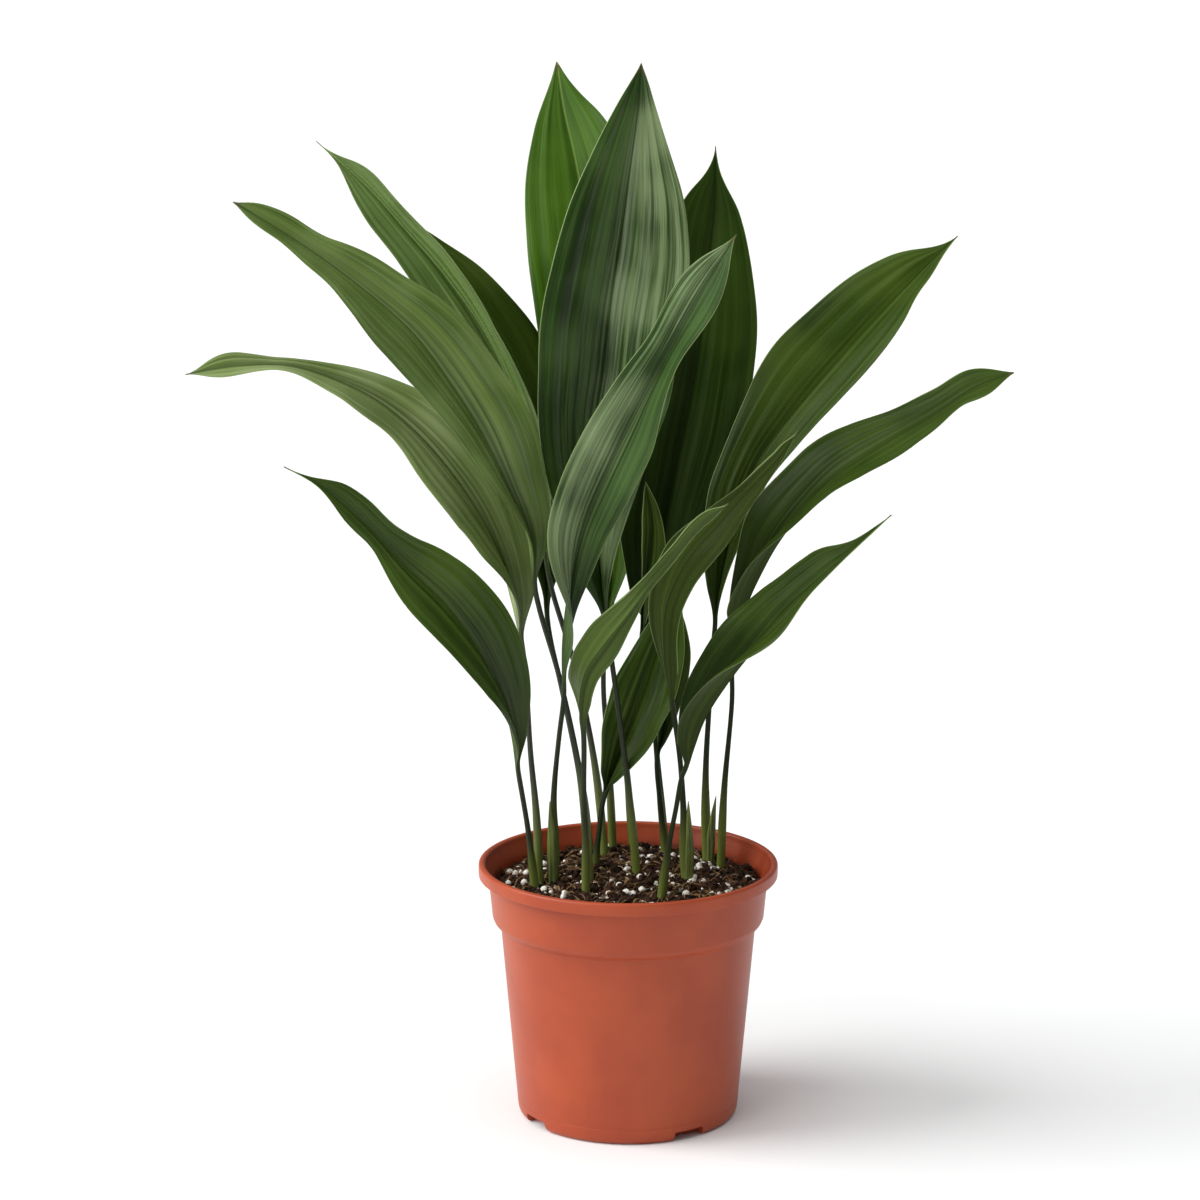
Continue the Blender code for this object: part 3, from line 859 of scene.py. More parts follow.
FINISHES = {
    look.tone: look
    for look in (
        WaxyLeaf(Tone.DEEP, "#23350A", "#374C10", "#4C6021", "#333F1A", "#263809", 0.09, 0.36, 0.72),
        WaxyLeaf(Tone.OLIVE, "#1C2B07", "#2C3F0C", "#42551E", "#303A1B", "#22310A", 0.07, 0.36, 0.95),
        WaxyLeaf(Tone.MID, "#2C400E", "#425A1A", "#5A722C", "#37451A", "#2F4511", 0.24, 0.34, 0.55),
        WaxyLeaf(Tone.BRIGHT, "#305108", "#48710E", "#628822", "#4A6422", "#7F9E44", 0.40),
        WaxyLeaf(Tone.PALE, "#465F20", "#657D36", "#839A59", "#5A6B3C", "#2A4210", 0.38, 0.34, 0.22),
        WaxyLeaf(Tone.SUNNY, "#576D2B", "#7D9150", "#A2B07C", "#6A784A", "#33500F", 0.42, 0.36, 0.25),
        WaxyLeaf(Tone.FRESH, "#415A20", "#5B7532", "#76904F", "#4D5C31", "#8DA866", 0.45),
        # Only the glossy leaves carry a painted highlight; its share is the last number.
        WaxyLeaf(
            Tone.GLOSSY, "#192C08", "#2A4811", "#426421", "#33451C", "#1D340D", 0.20, 0.26, 0.25, 0.66
        ),
        WaxyLeaf(Tone.SHADED, "#182806", "#283C0E", "#384E18", "#2A351A", "#1C2F0A", 0.06, 0.40, 0.90),
    )
}


@dataclass
class Leaf:
    """One leaf with its petiole.

    course runs in mm from the soil to the tip, and neck is the index of the point in it where the
    petiole ends. half is the blade's half width in mm, and grow how quickly the width rises and
    falls. faces holds (share of the blade, azimuth, elevation) of the upper side, and fold each
    half's lift in degrees at the neck and past the share reach. trim holds (share of the blade,
    left, right), the factor on each margin's width there. foot is the petiole's radius at the soil
    and sheath the extra radius where a sheath wraps it. wave is how far the margins wave and pleat
    how deep the pleats are, in mm. lined is the strength of the painted shade in the creases, and
    lit_half the half, 1 or -1, that the painted highlight lies on. In capitals stand what every leaf
    shares: in mm the petiole's radius, the midrib's groove above, ridge below and width, and half of
    the thickness with what is left at the margin, then the twist in radians and the counts.
    """

    name: str
    course: tuple[Point, ...]
    neck: int
    half: float
    faces: tuple[Point, ...]
    tone: Tone = Tone.MID
    grow: Pair = (1.15, 0.95)
    fold: Pair = (60.0, 18.0)
    reach: float = 0.45
    foot: float = 2.5
    sheath: float = 0.35
    trim: tuple[Point, ...] = ((0.0, 1.0, 1.0), (1.0, 1.0, 1.0))
    wave: float = 1.6
    pleat: float = 0.5
    lined: float = 1.0
    lit_half: int = 1
    seed: int = 1

    STALK: ClassVar[float] = 1.5
    RIB_ABOVE: ClassVar[float] = 0.60
    RIB_BELOW: ClassVar[float] = 0.80
    RIB_WIDE: ClassVar[float] = 0.95
    HALF_THICK: ClassVar[float] = 0.24
    HALF_EDGE: ClassVar[float] = 0.05
    TWIST: ClassVar[float] = 0.09
    CREASES: ClassVar[int] = 7
    AROUND: ClassVar[int] = 184
    STALK_ROWS: ClassVar[int] = 26
    BLADE_ROWS: ClassVar[int] = 118
    CURVE_POINTS: ClassVar[int] = 1600

    def curve(self, count: int) -> np.ndarray:
        """Return a smooth curve through the course, in metres.

        Args:
            count: number of points.

        Returns:
            An array with one row for each point.
        """
        spots = np.array(self.course, float) * MM
        steps = np.linalg.norm(np.diff(spots, axis=0), axis=1)
        knots = np.concatenate([[0], np.cumsum(np.sqrt(steps))])
        runs = np.diff(spots, axis=0) / np.diff(knots)[:, None]
        slopes = np.empty_like(spots)
        slopes[0], slopes[-1] = runs[0], runs[-1]
        spans = np.diff(knots)[:, None]
        slopes[1:-1] = (runs[:-1] * spans[1:] + runs[1:] * spans[:-1]) / (spans[1:] + spans[:-1])
        at = np.linspace(0, knots[-1], count)
        k = np.clip(np.searchsorted(knots, at, side="right") - 1, 0, len(spots) - 2)
        span = (knots[k + 1] - knots[k])[:, None]
        s = ((at - knots[k]) / span[:, 0])[:, None]
        return (
            (2 * s**3 - 3 * s**2 + 1) * spots[k] + (s**3 - 2 * s**2 + s) * span * slopes[k]
            + (3 * s**2 - 2 * s**3) * spots[k + 1] + (s**3 - s**2) * span * slopes[k + 1]
        )

    @staticmethod
    def by_length(points: np.ndarray, shares: np.ndarray) -> np.ndarray:
        """Return the points at shares of a curve's length."""
        sums = np.concatenate([[0], np.cumsum(np.linalg.norm(np.diff(points, axis=0), axis=1))])
        return np.stack([np.interp(shares * sums[-1], sums, points[:, i]) for i in range(3)], 1)

    def stations(self) -> tuple[np.ndarray, np.ndarray]:
        """Place the sections along the petiole and the blade.

        Returns:
            The section centres and their shares, -1 to 0 on the petiole and 0 to 1 on the blade.
        """
        dense = self.curve(self.CURVE_POINTS)
        neck = np.array(self.course[self.neck]) * MM
        split = int(np.argmin(np.linalg.norm(dense - neck, axis=1)))
        low = np.linspace(0, 1, self.STALK_ROWS, endpoint=False)
        high = np.linspace(0, 1, self.BLADE_ROWS)
        spots = np.vstack([self.by_length(dense[: split + 1], low), self.by_length(dense[split:], high)])
        return spots, np.concatenate([low - 1, high])

    def frames(self, spots: np.ndarray, shares: np.ndarray) -> tuple[np.ndarray, np.ndarray]:
        """Return the directions across the leaf and out of its upper side at each section.

        Args:
            spots: section centres.
            shares: their shares.

        Returns:
            Two arrays of unit vectors.
        """
        dice = np.random.default_rng(self.seed)
        along = np.gradient(spots, axis=0)
        along /= np.linalg.norm(along, axis=1)[:, None]
        table = np.array(self.faces, float)
        around, up = np.radians(table[:, 1]), np.radians(table[:, 2])
        towards = np.stack([np.sin(around) * np.cos(up), -np.cos(around) * np.cos(up), np.sin(up)], 1)
        out = np.stack([np.interp(shares, table[:, 0], towards[:, i]) for i in range(3)], 1)
        out -= (out * along).sum(1)[:, None] * along
        out /= np.linalg.norm(out, axis=1)[:, None]
        across = np.cross(along, out)
        blade = np.clip(shares, 0, 1)
        twist = self.TWIST * np.sin(math.tau * (1.35 * blade + dice.random())) * np.sin(math.pi * blade)
        turn = twist[:, None]
        return across * np.cos(turn) + out * np.sin(turn), out * np.cos(turn) - across * np.sin(turn)

    def sections(self, shares: np.ndarray) -> dict[str, np.ndarray]:
        """Return every section's shape, as rows of stations by points round the ring.

        Args:
            shares: the stations' shares.

        Returns:
            x and z in metres, and the numbers that the material reads.
        """
        dice = np.random.default_rng(self.seed + 100)
        n = self.AROUND
        k = np.arange(n)
        top = k <= n // 2
        s = np.where(top, -1 + 4 * k / n, 3 - 4 * k / n)[None, :]
        sigma = np.abs(s)
        right = s > 0
        t = np.clip(shares, 0, 1)[:, None]
        rise, fall = self.grow
        peak = rise / (rise + fall)
        inner = np.clip(t, 1e-6, 1 - 1e-6)
        profile = inner**rise * (1 - inner) ** fall / (peak**rise * (1 - peak) ** fall)
        phase = dice.random(12) * math.tau
        wobble = [
            1 + 0.022 * np.sin(math.tau * 1.9 * t + phase[i])
            + 0.012 * np.sin(math.tau * 4.7 * t + phase[i + 2])
            for i in (0, 1)
        ]
        table = np.array(self.trim, float)
        near = np.linspace(-0.032, 0.032, 11)
        margins = [
            np.mean([np.interp(t + d, table[:, 0], table[:, i]) for d in near], axis=0) for i in (1, 2)
        ]
        wide = self.half * MM * profile * np.where(right, wobble[1] * margins[1], wobble[0] * margins[0])
        wide = np.maximum(wide, (self.STALK * (1 - t) + 0.3) * MM)
        lift = self.fold[1] + (self.fold[0] - self.fold[1]) * np.clip(1 - t / self.reach, 0, 1) ** 1.5
        lift = np.radians(lift * np.minimum(1, t / 0.06))
        first, drop = 1.5 * lift, np.maximum(lift, 1e-4)
        x = np.sign(s) * wide * (np.sin(first) - np.sin(first - drop * sigma)) / drop
        z = wide * (np.cos(first - drop * sigma) - np.cos(first)) / drop
        body = np.clip(wide / (0.45 * self.half * MM), 0, 1) * np.sin(math.pi * np.clip(t, 0, 1)) ** 0.35
        arc = sigma * wide / MM
        # The second array gathers painted shade along the creases, which the material darkens.
        folds, marks = np.zeros_like(x), np.zeros_like(x)
        for side in (False, True):
            for j in range(self.CREASES):
                at = 0.07 + 0.78 * ((j + 0.15 + 0.7 * dice.random()) / self.CREASES) ** 1.25
                deep, size = dice.uniform(0.25, 1.0) * (1.15 - at), dice.uniform(0.55, 1.1)
                middle, length = dice.uniform(0.15, 0.75), dice.uniform(0.18, 0.42)
                if j < 2:
                    deep, size, middle, length = 1.05 - 0.25 * j, 0.8, 0.5 * middle + 0.1, length + 0.18
                drift = 0.035 * np.sin(math.tau * (0.7 * t + dice.random()))
                seen = np.exp(-(((t - middle) / length) ** 2))
                apart = arc - (at + drift) * wide / MM
                groove = np.exp(-((apart / size) ** 2)) - 0.45 * np.exp(-((apart / (2.6 * size)) ** 2))
                folds -= deep * groove * seen * (right == side)
                marks += deep * np.exp(-((apart / (0.85 * size)) ** 2)) * seen * (right == side)
        for i, (times, tall) in enumerate(((2.3, 0.5), (4.1, 0.35))):
            lean = 0.9 * np.sin(math.tau * (0.8 + 0.3 * i) * t + phase[4 + i])
            side = np.where(right, phase[7], phase[8]) * (1 + i)
            folds += tall * np.cos(math.tau * times * sigma + side + lean)
        z = z + self.pleat * MM * folds * body * np.clip(sigma * 6, 0, 1)
        swing = [
            np.sin(math.tau * (1.7 + 0.6 * i) * t + phase[9 + i])
            + 0.4 * np.sin(math.tau * 4.1 * t + phase[3 + i])
            for i in (0, 1)
        ]
        z = z + self.wave * MM * sigma**2.2 * np.where(right, swing[1], swing[0]) * body
        rib = np.exp(-((wide * sigma / MM / self.RIB_WIDE) ** 2)) * np.clip((1 - t) / 0.35, 0.15, 1)
        z = z - np.where(top, self.RIB_ABOVE, self.RIB_BELOW) * MM * rib
        thick = (self.HALF_THICK * (1 - sigma**8) + self.HALF_EDGE) * MM
        z = z + np.where(top, thick, -thick) * (sigma < 1)
        turn = math.pi - math.tau * k[None, :] / n
        u = 1 + np.clip(shares, -1, 0)[:, None]
        radius = (self.STALK + (self.foot - self.STALK) * np.clip(1 - u / 0.7, 0, 1) ** 1.3) * MM
        radius = radius + self.sheath * MM * np.exp(-(((u - 0.26) / 0.13) ** 2))
        groove = 1 - 0.22 * np.exp(-((np.abs(turn - math.pi / 2) / 0.55) ** 2)) * np.clip(u * 3 - 1, 0, 1)
        blend = np.clip(t / 0.12, 0, 1)
        blend = blend * blend * (3 - 2 * blend)
        shape = np.ones_like(x)
        return {
            "x": (1 - blend) * radius * np.cos(turn) + blend * x,
            "z": (1 - blend) * radius * np.sin(turn) * groove + blend * z,
            "across": s * shape,
            # The half of the blade that the painted highlight lies on.
            "lit": s * self.lit_half * shape,
            "along": shares[:, None] * shape,
            "rib_mm": sigma * wide / MM + (1 - blend) * 9,
            "edge_mm": (1 - sigma) * wide / MM + (1 - blend) * 9,
            "under": np.where(top, 0.0, 1.0) * shape,
            # Painted shade along the creases, on the upper side only.
            "crease": self.lined * marks * body * top,
            "shift": np.full_like(x, self.seed * 1.37),
        }

    def build(self) -> Any:
        """Make the leaf: a capped tube whose rings take the shapes of the sections.

        Returns:
            The piece.
        """
        spots, shares = self.stations()
        across, out = self.frames(spots, shares)
        shapes = self.sections(shares)
        rows = len(spots)
        bm = bmesh.new()
        bmesh.ops.create_cone(
            bm, cap_ends=True, cap_tris=False, segments=self.AROUND, radius1=1, radius2=1, depth=1
        )
        sides = [e for e in bm.edges if abs(e.verts[0].co.z - e.verts[1].co.z) > 0.5]
        bmesh.ops.subdivide_edges(bm, edges=sides, cuts=rows - 2, use_grid_fill=True)
        mesh = bpy.data.meshes.new(self.name)
        bm.to_mesh(mesh)
        bm.free()
        where = np.empty(len(mesh.vertices) * 3)
        mesh.vertices.foreach_get("co", where)
        where = where.reshape(-1, 3)
        k = np.round(np.arctan2(where[:, 1], where[:, 0]) / math.tau * self.AROUND).astype(int)
        k %= self.AROUND
        r = np.clip(np.round((where[:, 2] + 0.5) * (rows - 1)).astype(int), 0, rows - 1)
        x, z = shapes["x"][r, k][:, None], shapes["z"][r, k][:, None]
        mesh.vertices.foreach_set("co", (spots[r] + across[r] * x + out[r] * z).ravel())
        for key in ("across", "lit", "along", "rib_mm", "edge_mm", "under", "crease", "shift"):
            mesh.attributes.new(key, "FLOAT", "POINT").data.foreach_set("value", shapes[key][r, k])
        mesh.update()
        bm = bmesh.new()
        bm.from_mesh(mesh)
        bmesh.ops.recalc_face_normals(bm, faces=bm.faces)
        bm.to_mesh(mesh)
        bm.free()
        look = bpy.data.materials.get(f"waxy_leaf_{self.tone.value}")
        look = look or FINISHES[self.tone].material()
        return piece_of_mesh(mesh, f"{self.name}_fine", look, (self.name,), NEVER_SHARP)


LEAVES = (
    Leaf(
        "leaf_tall_middle",
        ((6, 1, 126), (2, 4, 170), (-4, 10, 221), (-11, 15, 272), (-16, 18, 312), (-19, 21, 351),
         (-18, 25, 395), (-14, 28, 423), (-10, 33, 460), (-4, 39, 498), (1, 46, 536), (5, 51, 566),
         (7, 56, 592)),
        neck=3, half=40, grow=(1.15, 1.0), tone=Tone.GLOSSY, seed=2, wave=1.4, pleat=0.75,
        trim=((0, 1, 1), (0.5, 1.02, 1.02), (0.68, 1.05, 1.14), (0.77, 1.1, 1.12), (0.84, 1.12, 0.97),
              (0.9, 1.14, 0.84), (0.96, 1.2, 0.8), (1, 1, 1)),
        faces=((0, -20, 5), (0.4, 0, 14), (0.62, 14, 16), (1, 20, 20)),
    ),
    Leaf(
        "leaf_tall_back",
        ((-8, 62, 126), (-11, 66, 189), (-14, 70, 232), (-13, 73, 259), (-8, 82, 305), (-10, 91, 352),
         (-14, 99, 398), (-18, 107, 444), (-23, 114, 490), (-30, 119, 532), (-37, 123, 563),
         (-41, 126, 589)),
        neck=3, half=37, grow=(1.1, 0.75), fold=(50, 13), tone=Tone.BRIGHT, lined=0.5, seed=3,
        trim=((0, 1, 1), (0.5, 0.95, 1), (0.62, 0.97, 1.05), (0.7, 1.04, 1.1), (0.77, 1.1, 1.12),
              (0.83, 1.06, 1.1), (0.88, 0.98, 1.08), (0.93, 0.82, 0.92), (0.965, 0.55, 0.55),
              (1, 0.4, 0.4)),
        faces=((0, -10, 5), (0.5, -8, 12), (1, -5, 15)),
    ),
    Leaf(
        "leaf_upright_right",
        ((23, 62, 126), (19, 62, 172), (16, 63, 207), (13, 67, 254), (14, 69, 284), (20, 72, 318),
         (29, 76, 362), (37, 80, 402), (43, 84, 442), (47, 88, 481), (50, 92, 512), (50, 95, 543)),
        neck=3, half=36, grow=(0.95, 0.95), fold=(40, 16), tone=Tone.SHADED, lined=0.4, seed=4,
        trim=((0, 1, 1), (0.8, 1.05, 1.02), (0.86, 1.25, 0.97), (0.905, 1.3, 0.86), (0.94, 1.15, 0.38),
              (0.965, 0.35, 0.3), (1, 0.3, 0.3)),
        faces=((0, 0, 5), (0.5, -8, 14), (1, -10, 20)),
    ),
    Leaf(
        "leaf_front_slanting",
        ((-42, 1, 126), (-42, -6, 186), (-39, -12, 221), (-36, -17, 248), (-36, -21, 278),
         (-33, -27, 308), (-25, -34, 345), (-8, -41, 387), (13, -49, 430), (33, -56, 468),
         (47, -60, 493), (56, -63, 509)),
        neck=3, half=22, grow=(1.05, 1.1), foot=2.9, sheath=1.1, tone=Tone.GLOSSY, lit_half=-1,
        seed=5, wave=1.2,
        trim=((0, 1, 0.5), (0.2, 1.1, 0.5), (0.3, 1.1, 0.66), (0.44, 1, 0.88), (0.56, 1, 0.92),
              (0.66, 0.9, 0.63), (0.75, 0.84, 0.6), (0.82, 1.2, 1.1), (0.87, 1.6, 1.7),
              (0.92, 2.0, 2.15), (0.96, 2.1, 2.2), (1, 1, 1)),
        faces=((0, 100, 10), (0.15, 70, 10), (0.35, 10, 15), (0.6, -10, 20), (0.8, -18, 25),
               (1, -20, 25)),
    ),
    Leaf(
        "leaf_left_wide",
        ((-21, -9, 126), (-26, -10, 191), (-38, -8, 253), (-51, -7, 300), (-56, -10, 336),
         (-67, -13, 364), (-81, -17, 396), (-99, -21, 426), (-118, -25, 452), (-150, -30, 481),
         (-177, -34, 501), (-212, -40, 524)),
        neck=3, half=31, grow=(1.1, 1.3), sheath=0.6, tone=Tone.PALE, seed=6, wave=2.4,
        trim=((0, 1, 1), (0.2, 0.8, 1), (0.36, 0.62, 0.98), (0.49, 0.75, 0.97), (0.58, 0.98, 0.84),
              (0.66, 1.2, 0.77), (0.72, 1.15, 0.86), (0.79, 0.88, 0.82), (0.84, 1.05, 0.8),
              (0.88, 0.9, 1.35), (0.92, 1.2, 2.0), (0.96, 2.2, 2.8), (0.985, 3.0, 4.0), (1, 3.5, 4.5)),
        faces=((0, 50, 15), (0.35, 30, 25), (0.7, 28, 35), (1, 10, 40)),
    ),
    Leaf(
        "leaf_left_arching",
        ((-50, -6, 126), (-52, -3, 175), (-55, 0, 208), (-59, 5, 266), (-64, 8, 291), (-72, 12, 319),
         (-84, 15, 345), (-100, 16, 369), (-119, 16, 391), (-139, 14, 408), (-163, 10, 421),
         (-187, 6, 429), (-214, 0, 430), (-244, -5, 426)),
        neck=3, half=27, grow=(0.95, 1.3), tone=Tone.SUNNY, seed=7,
        trim=((0, 1, 1), (0.2, 1.8, 1), (0.26, 1.2, 1), (0.36, 1, 0.95), (0.45, 0.86, 0.9),
              (0.52, 0.68, 0.84), (0.57, 0.72, 0.77), (0.63, 1, 0.7), (0.68, 0.9, 0.62),
              (0.74, 0.75, 0.45), (0.8, 0.5, 0.36), (0.85, 0.6, 0.5), (0.9, 1.4, 1.3),
              (0.95, 2.6, 2.4), (0.985, 2.5, 2.5), (1, 1, 1)),
        faces=((0, 60, 25), (0.3, 30, 35), (0.68, 22, 48), (0.82, 8, 46), (1, 2, 32)),
    ),
    Leaf(
        "leaf_left_low",
        ((-52, -13, 126), (-56, -15, 166), (-61, -22, 201), (-66, -36, 237), (-78, -50, 274),
         (-98, -64, 308), (-123, -76, 336), (-145, -86, 362), (-164, -94, 380), (-182, -100, 391)),
        neck=2, half=25, grow=(1.0, 1.25), tone=Tone.MID, seed=8, wave=2.2,
        trim=((0, 1, 1), (0.17, 1, 0.92), (0.25, 1, 0.87), (0.38, 1.2, 1.05), (0.52, 1.2, 1.05),
              (0.6, 1.05, 0.96), (0.67, 0.75, 0.72), (0.74, 0.5, 0.55), (0.8, 0.85, 0.8),
              (0.86, 1, 1.1), (0.89, 0.7, 1.2), (0.925, 0.4, 0.55), (0.95, 0.3, 0.35),
              (1, 0.3, 0.3)),
        faces=((0, 60, 20), (0.3, 38, 25), (0.6, 30, 35), (1, 20, 40)),
    ),
    Leaf(
        "leaf_left_high",
        ((-12, 45, 126), (-19, 50, 190), (-30, 57, 245), (-45, 64, 296), (-49, 68, 325),
         (-59, 74, 382), (-78, 80, 431), (-104, 87, 469), (-126, 93, 494), (-148, 99, 518),
         (-179, 106, 545)),
        neck=3, half=23, grow=(1.1, 1.15), fold=(60, 30), tone=Tone.FRESH, seed=9,
        trim=((0, 1, 1), (0.4, 1, 0.75), (0.6, 0.95, 0.7), (0.75, 0.88, 0.65), (0.8, 1.1, 0.7),
              (0.85, 1.3, 0.85), (0.89, 1.3, 1.25), (0.925, 0.9, 1.15), (0.95, 0.35, 0.8),
              (0.97, 0.25, 0.3), (1, 0.25, 0.25)),
        faces=((0, 20, 20), (0.5, -52, 25), (0.8, -45, 30), (1, 0, 30)),
    ),
    Leaf(
        "leaf_left_back",
        ((-21, 52, 126), (-26, 53, 173), (-38, 60, 232), (-46, 66, 269), (-48, 72, 307),
         (-52, 79, 346), (-63, 87, 387), (-77, 98, 422), (-96, 109, 456), (-114, 117, 481),
         (-129, 122, 500)),
        neck=3, half=30, grow=(1.15, 0.95), tone=Tone.DEEP, lined=0.4, seed=10,
        trim=((0, 1, 1), (0.65, 1, 1.02), (0.75, 0.95, 0.87), (0.85, 0.9, 0.82), (0.95, 0.7, 0.65),
              (1, 0.5, 0.5)),
        faces=((0, 20, 15), (0.5, 10, 25), (1, 10, 30)),
    ),
    Leaf(
        "leaf_right_high",
        ((46, 39, 126), (45, 42, 185), (47, 43, 230), (49, 43, 263), (52, 43, 291), (60, 44, 331),
         (73, 48, 367), (94, 51, 396), (119, 59, 424), (146, 69, 452), (168, 76, 474),
         (188, 82, 493)),
        neck=3, half=33, grow=(1.4, 1.05), sheath=0.7, tone=Tone.DEEP, lined=0.35, seed=11,
        trim=((0, 1, 1), (0.28, 1.05, 0.9), (0.38, 0.78, 0.8), (0.5, 0.95, 0.62), (0.58, 1, 0.68),
              (0.66, 1.04, 0.8), (0.74, 1.16, 0.86), (0.81, 1.26, 0.87), (0.85, 1.3, 0.68),
              (0.91, 1.38, 0.72), (0.94, 1.1, 0.5), (0.965, 0.5, 0.35), (1, 0.4, 0.4)),
        faces=((0, -30, 10), (0.35, -40, 25), (0.7, -28, 35), (1, -15, 40)),
    ),
    Leaf(
        "leaf_right_arching",
        ((53, 21, 126), (55, 22, 183), (59, 23, 235), (59, 22, 262), (63, 18, 280), (67, 14, 295),
         (74, 10, 312), (83, 5, 330), (97, 0, 350), (117, -5, 372), (141, -9, 389), (168, -13, 406),
         (189, -16, 420), (210, -18, 429)),
        neck=3, half=29, grow=(1.0, 0.95), fold=(72, 16), reach=0.6, tone=Tone.OLIVE, seed=12, wave=2.4,
        trim=((0, 1, 1), (0.4, 1.05, 0.8), (0.5, 0.97, 1), (0.57, 0.98, 1.3), (0.64, 1, 1.15),
              (0.72, 0.78, 1.3), (0.79, 0.72, 1.2), (0.85, 0.78, 0.66), (0.89, 1.1, 0.95),
              (0.93, 1.3, 2.1), (0.97, 1.2, 2.2), (1, 1, 1)),
        faces=((0, -90, 20), (0.25, -80, 40), (0.5, -45, 55), (0.75, -30, 60), (1, -10, 55)),
    ),
    Leaf(
        "leaf_right_low",
        ((17, -39, 126), (22, -41, 167), (26, -43, 190), (29, -45, 208), (31, -46, 213),
         (35, -49, 226), (41, -54, 244), (54, -61, 267), (67, -68, 286), (83, -75, 308),
         (100, -81, 326), (118, -87, 344), (138, -93, 364)),
        neck=3, half=25, grow=(0.9, 1.3), fold=(75, 16), reach=0.65, sheath=0.6, tone=Tone.OLIVE, seed=13,
        trim=((0, 1, 1), (0.15, 0.85, 1), (0.27, 1, 1), (0.45, 1.1, 1), (0.56, 1.07, 0.9),
              (0.63, 0.95, 0.8), (0.7, 1.1, 0.7), (0.77, 1.34, 0.6), (0.81, 1.1, 0.45),
              (0.85, 0.68, 0.4), (0.91, 0.48, 0.45), (0.96, 0.6, 0.6), (1, 0.6, 0.6)),
        faces=((0, -90, 20), (0.3, -75, 35), (0.6, -45, 55), (0.8, -30, 60), (1, -10, 60)),
    ),
    Leaf(
        "leaf_right_narrow",
        ((33, -3, 126), (31, -6, 180), (29, -9, 208), (25, -13, 238), (20, -20, 271), (21, -25, 301),
         (32, -30, 327), (48, -34, 347), (66, -38, 369), (80, -41, 385), (91, -44, 401)),
        neck=3, half=16, grow=(0.95, 1.35), sheath=1.2, tone=Tone.DEEP, seed=14,
        trim=((0, 1, 1), (0.2, 0.55, 0.9), (0.36, 0.62, 0.85), (0.45, 0.75, 0.88), (0.52, 1.1, 0.9),
              (0.6, 1.7, 0.92), (0.7, 1.55, 0.9), (0.79, 1.5, 0.72), (0.87, 1.5, 1), (0.93, 1.4, 1.4),
              (0.97, 2, 3), (1, 1, 1)),
        faces=((0, 150, 0), (0.3, 160, 20), (0.6, 180, 40), (1, 180, 50)),
    ),
    Leaf(
        "leaf_front_short",
        ((-24, -29, 126), (-24, -31, 162), (-25, -36, 198), (-25, -42, 231), (-27, -48, 250),
         (-24, -54, 269), (-14, -60, 286), (-2, -66, 303), (10.5, -72, 322), (24, -78, 340),
         (37, -83, 356), (52, -87, 369)),
        neck=3, half=16.5, grow=(0.75, 1.35), tone=Tone.MID, seed=15,
        trim=((0, 1, 1), (0.12, 0.6, 2), (0.2, 0.6, 1.1), (0.3, 0.62, 0.88), (0.38, 0.55, 0.8),
              (0.45, 0.45, 0.65), (0.55, 0.35, 0.45), (0.63, 0.4, 0.5), (0.7, 0.42, 0.6),
              (0.8, 0.5, 0.65), (0.87, 0.9, 1.2), (0.92, 2, 2.2), (0.97, 4, 4), (1, 2, 2)),
        faces=((0, 150, 0), (0.3, 150, 15), (0.6, -170, 35), (1, 180, 50)),
    ),
    Leaf(
        "leaf_inner_low",
        ((-20, 15, 126), (-17, 16, 156), (-14, 18, 178), (-9, 19, 192), (0, 21, 215), (9, 24, 238),
         (16, 27, 260), (23, 30, 283), (28, 33, 303)),
        neck=2, half=19, grow=(0.95, 1.0), tone=Tone.DEEP, seed=16,
        trim=((0, 1, 1.5), (0.25, 1, 1.2), (0.5, 0.95, 1.18), (0.7, 0.85, 1.1), (1, 0.8, 1)),
        faces=((0, -30, 10), (0.5, -15, 20), (1, -10, 20)),
    ),
    Leaf(
        "leaf_inner_young",
        ((4, 56, 126), (1, 55, 168), (-1, 54, 204), (4, 53, 234), (8, 52, 264), (9, 51, 287),
         (13, 50, 314), (14, 49, 334), (10, 47, 357)),
        neck=4, half=8, grow=(1.0, 1.0), foot=2.4, tone=Tone.DEEP, seed=17, wave=0.4, pleat=0.2,
        trim=((0, 0.3, 1.1), (0.36, 0.35, 1.15), (0.56, 0.7, 1.2), (0.8, 1.1, 1.1), (1, 1.2, 1.5)),
        faces=((0, -10, 5), (1, -20, 10)),
    ),
    Leaf(
        "leaf_inner_narrow",
        ((23, 48, 126), (20, 48, 158), (17, 49, 193), (19, 50, 206), (23, 51, 227), (27, 52, 247),
         (28, 52, 268), (25, 51, 292)),
        neck=2, half=9, grow=(1.0, 1.0), foot=2.4, tone=Tone.DEEP, seed=18, wave=0.4, pleat=0.2,
        faces=((0, 20, 5), (1, 20, 10)),
    ),
)


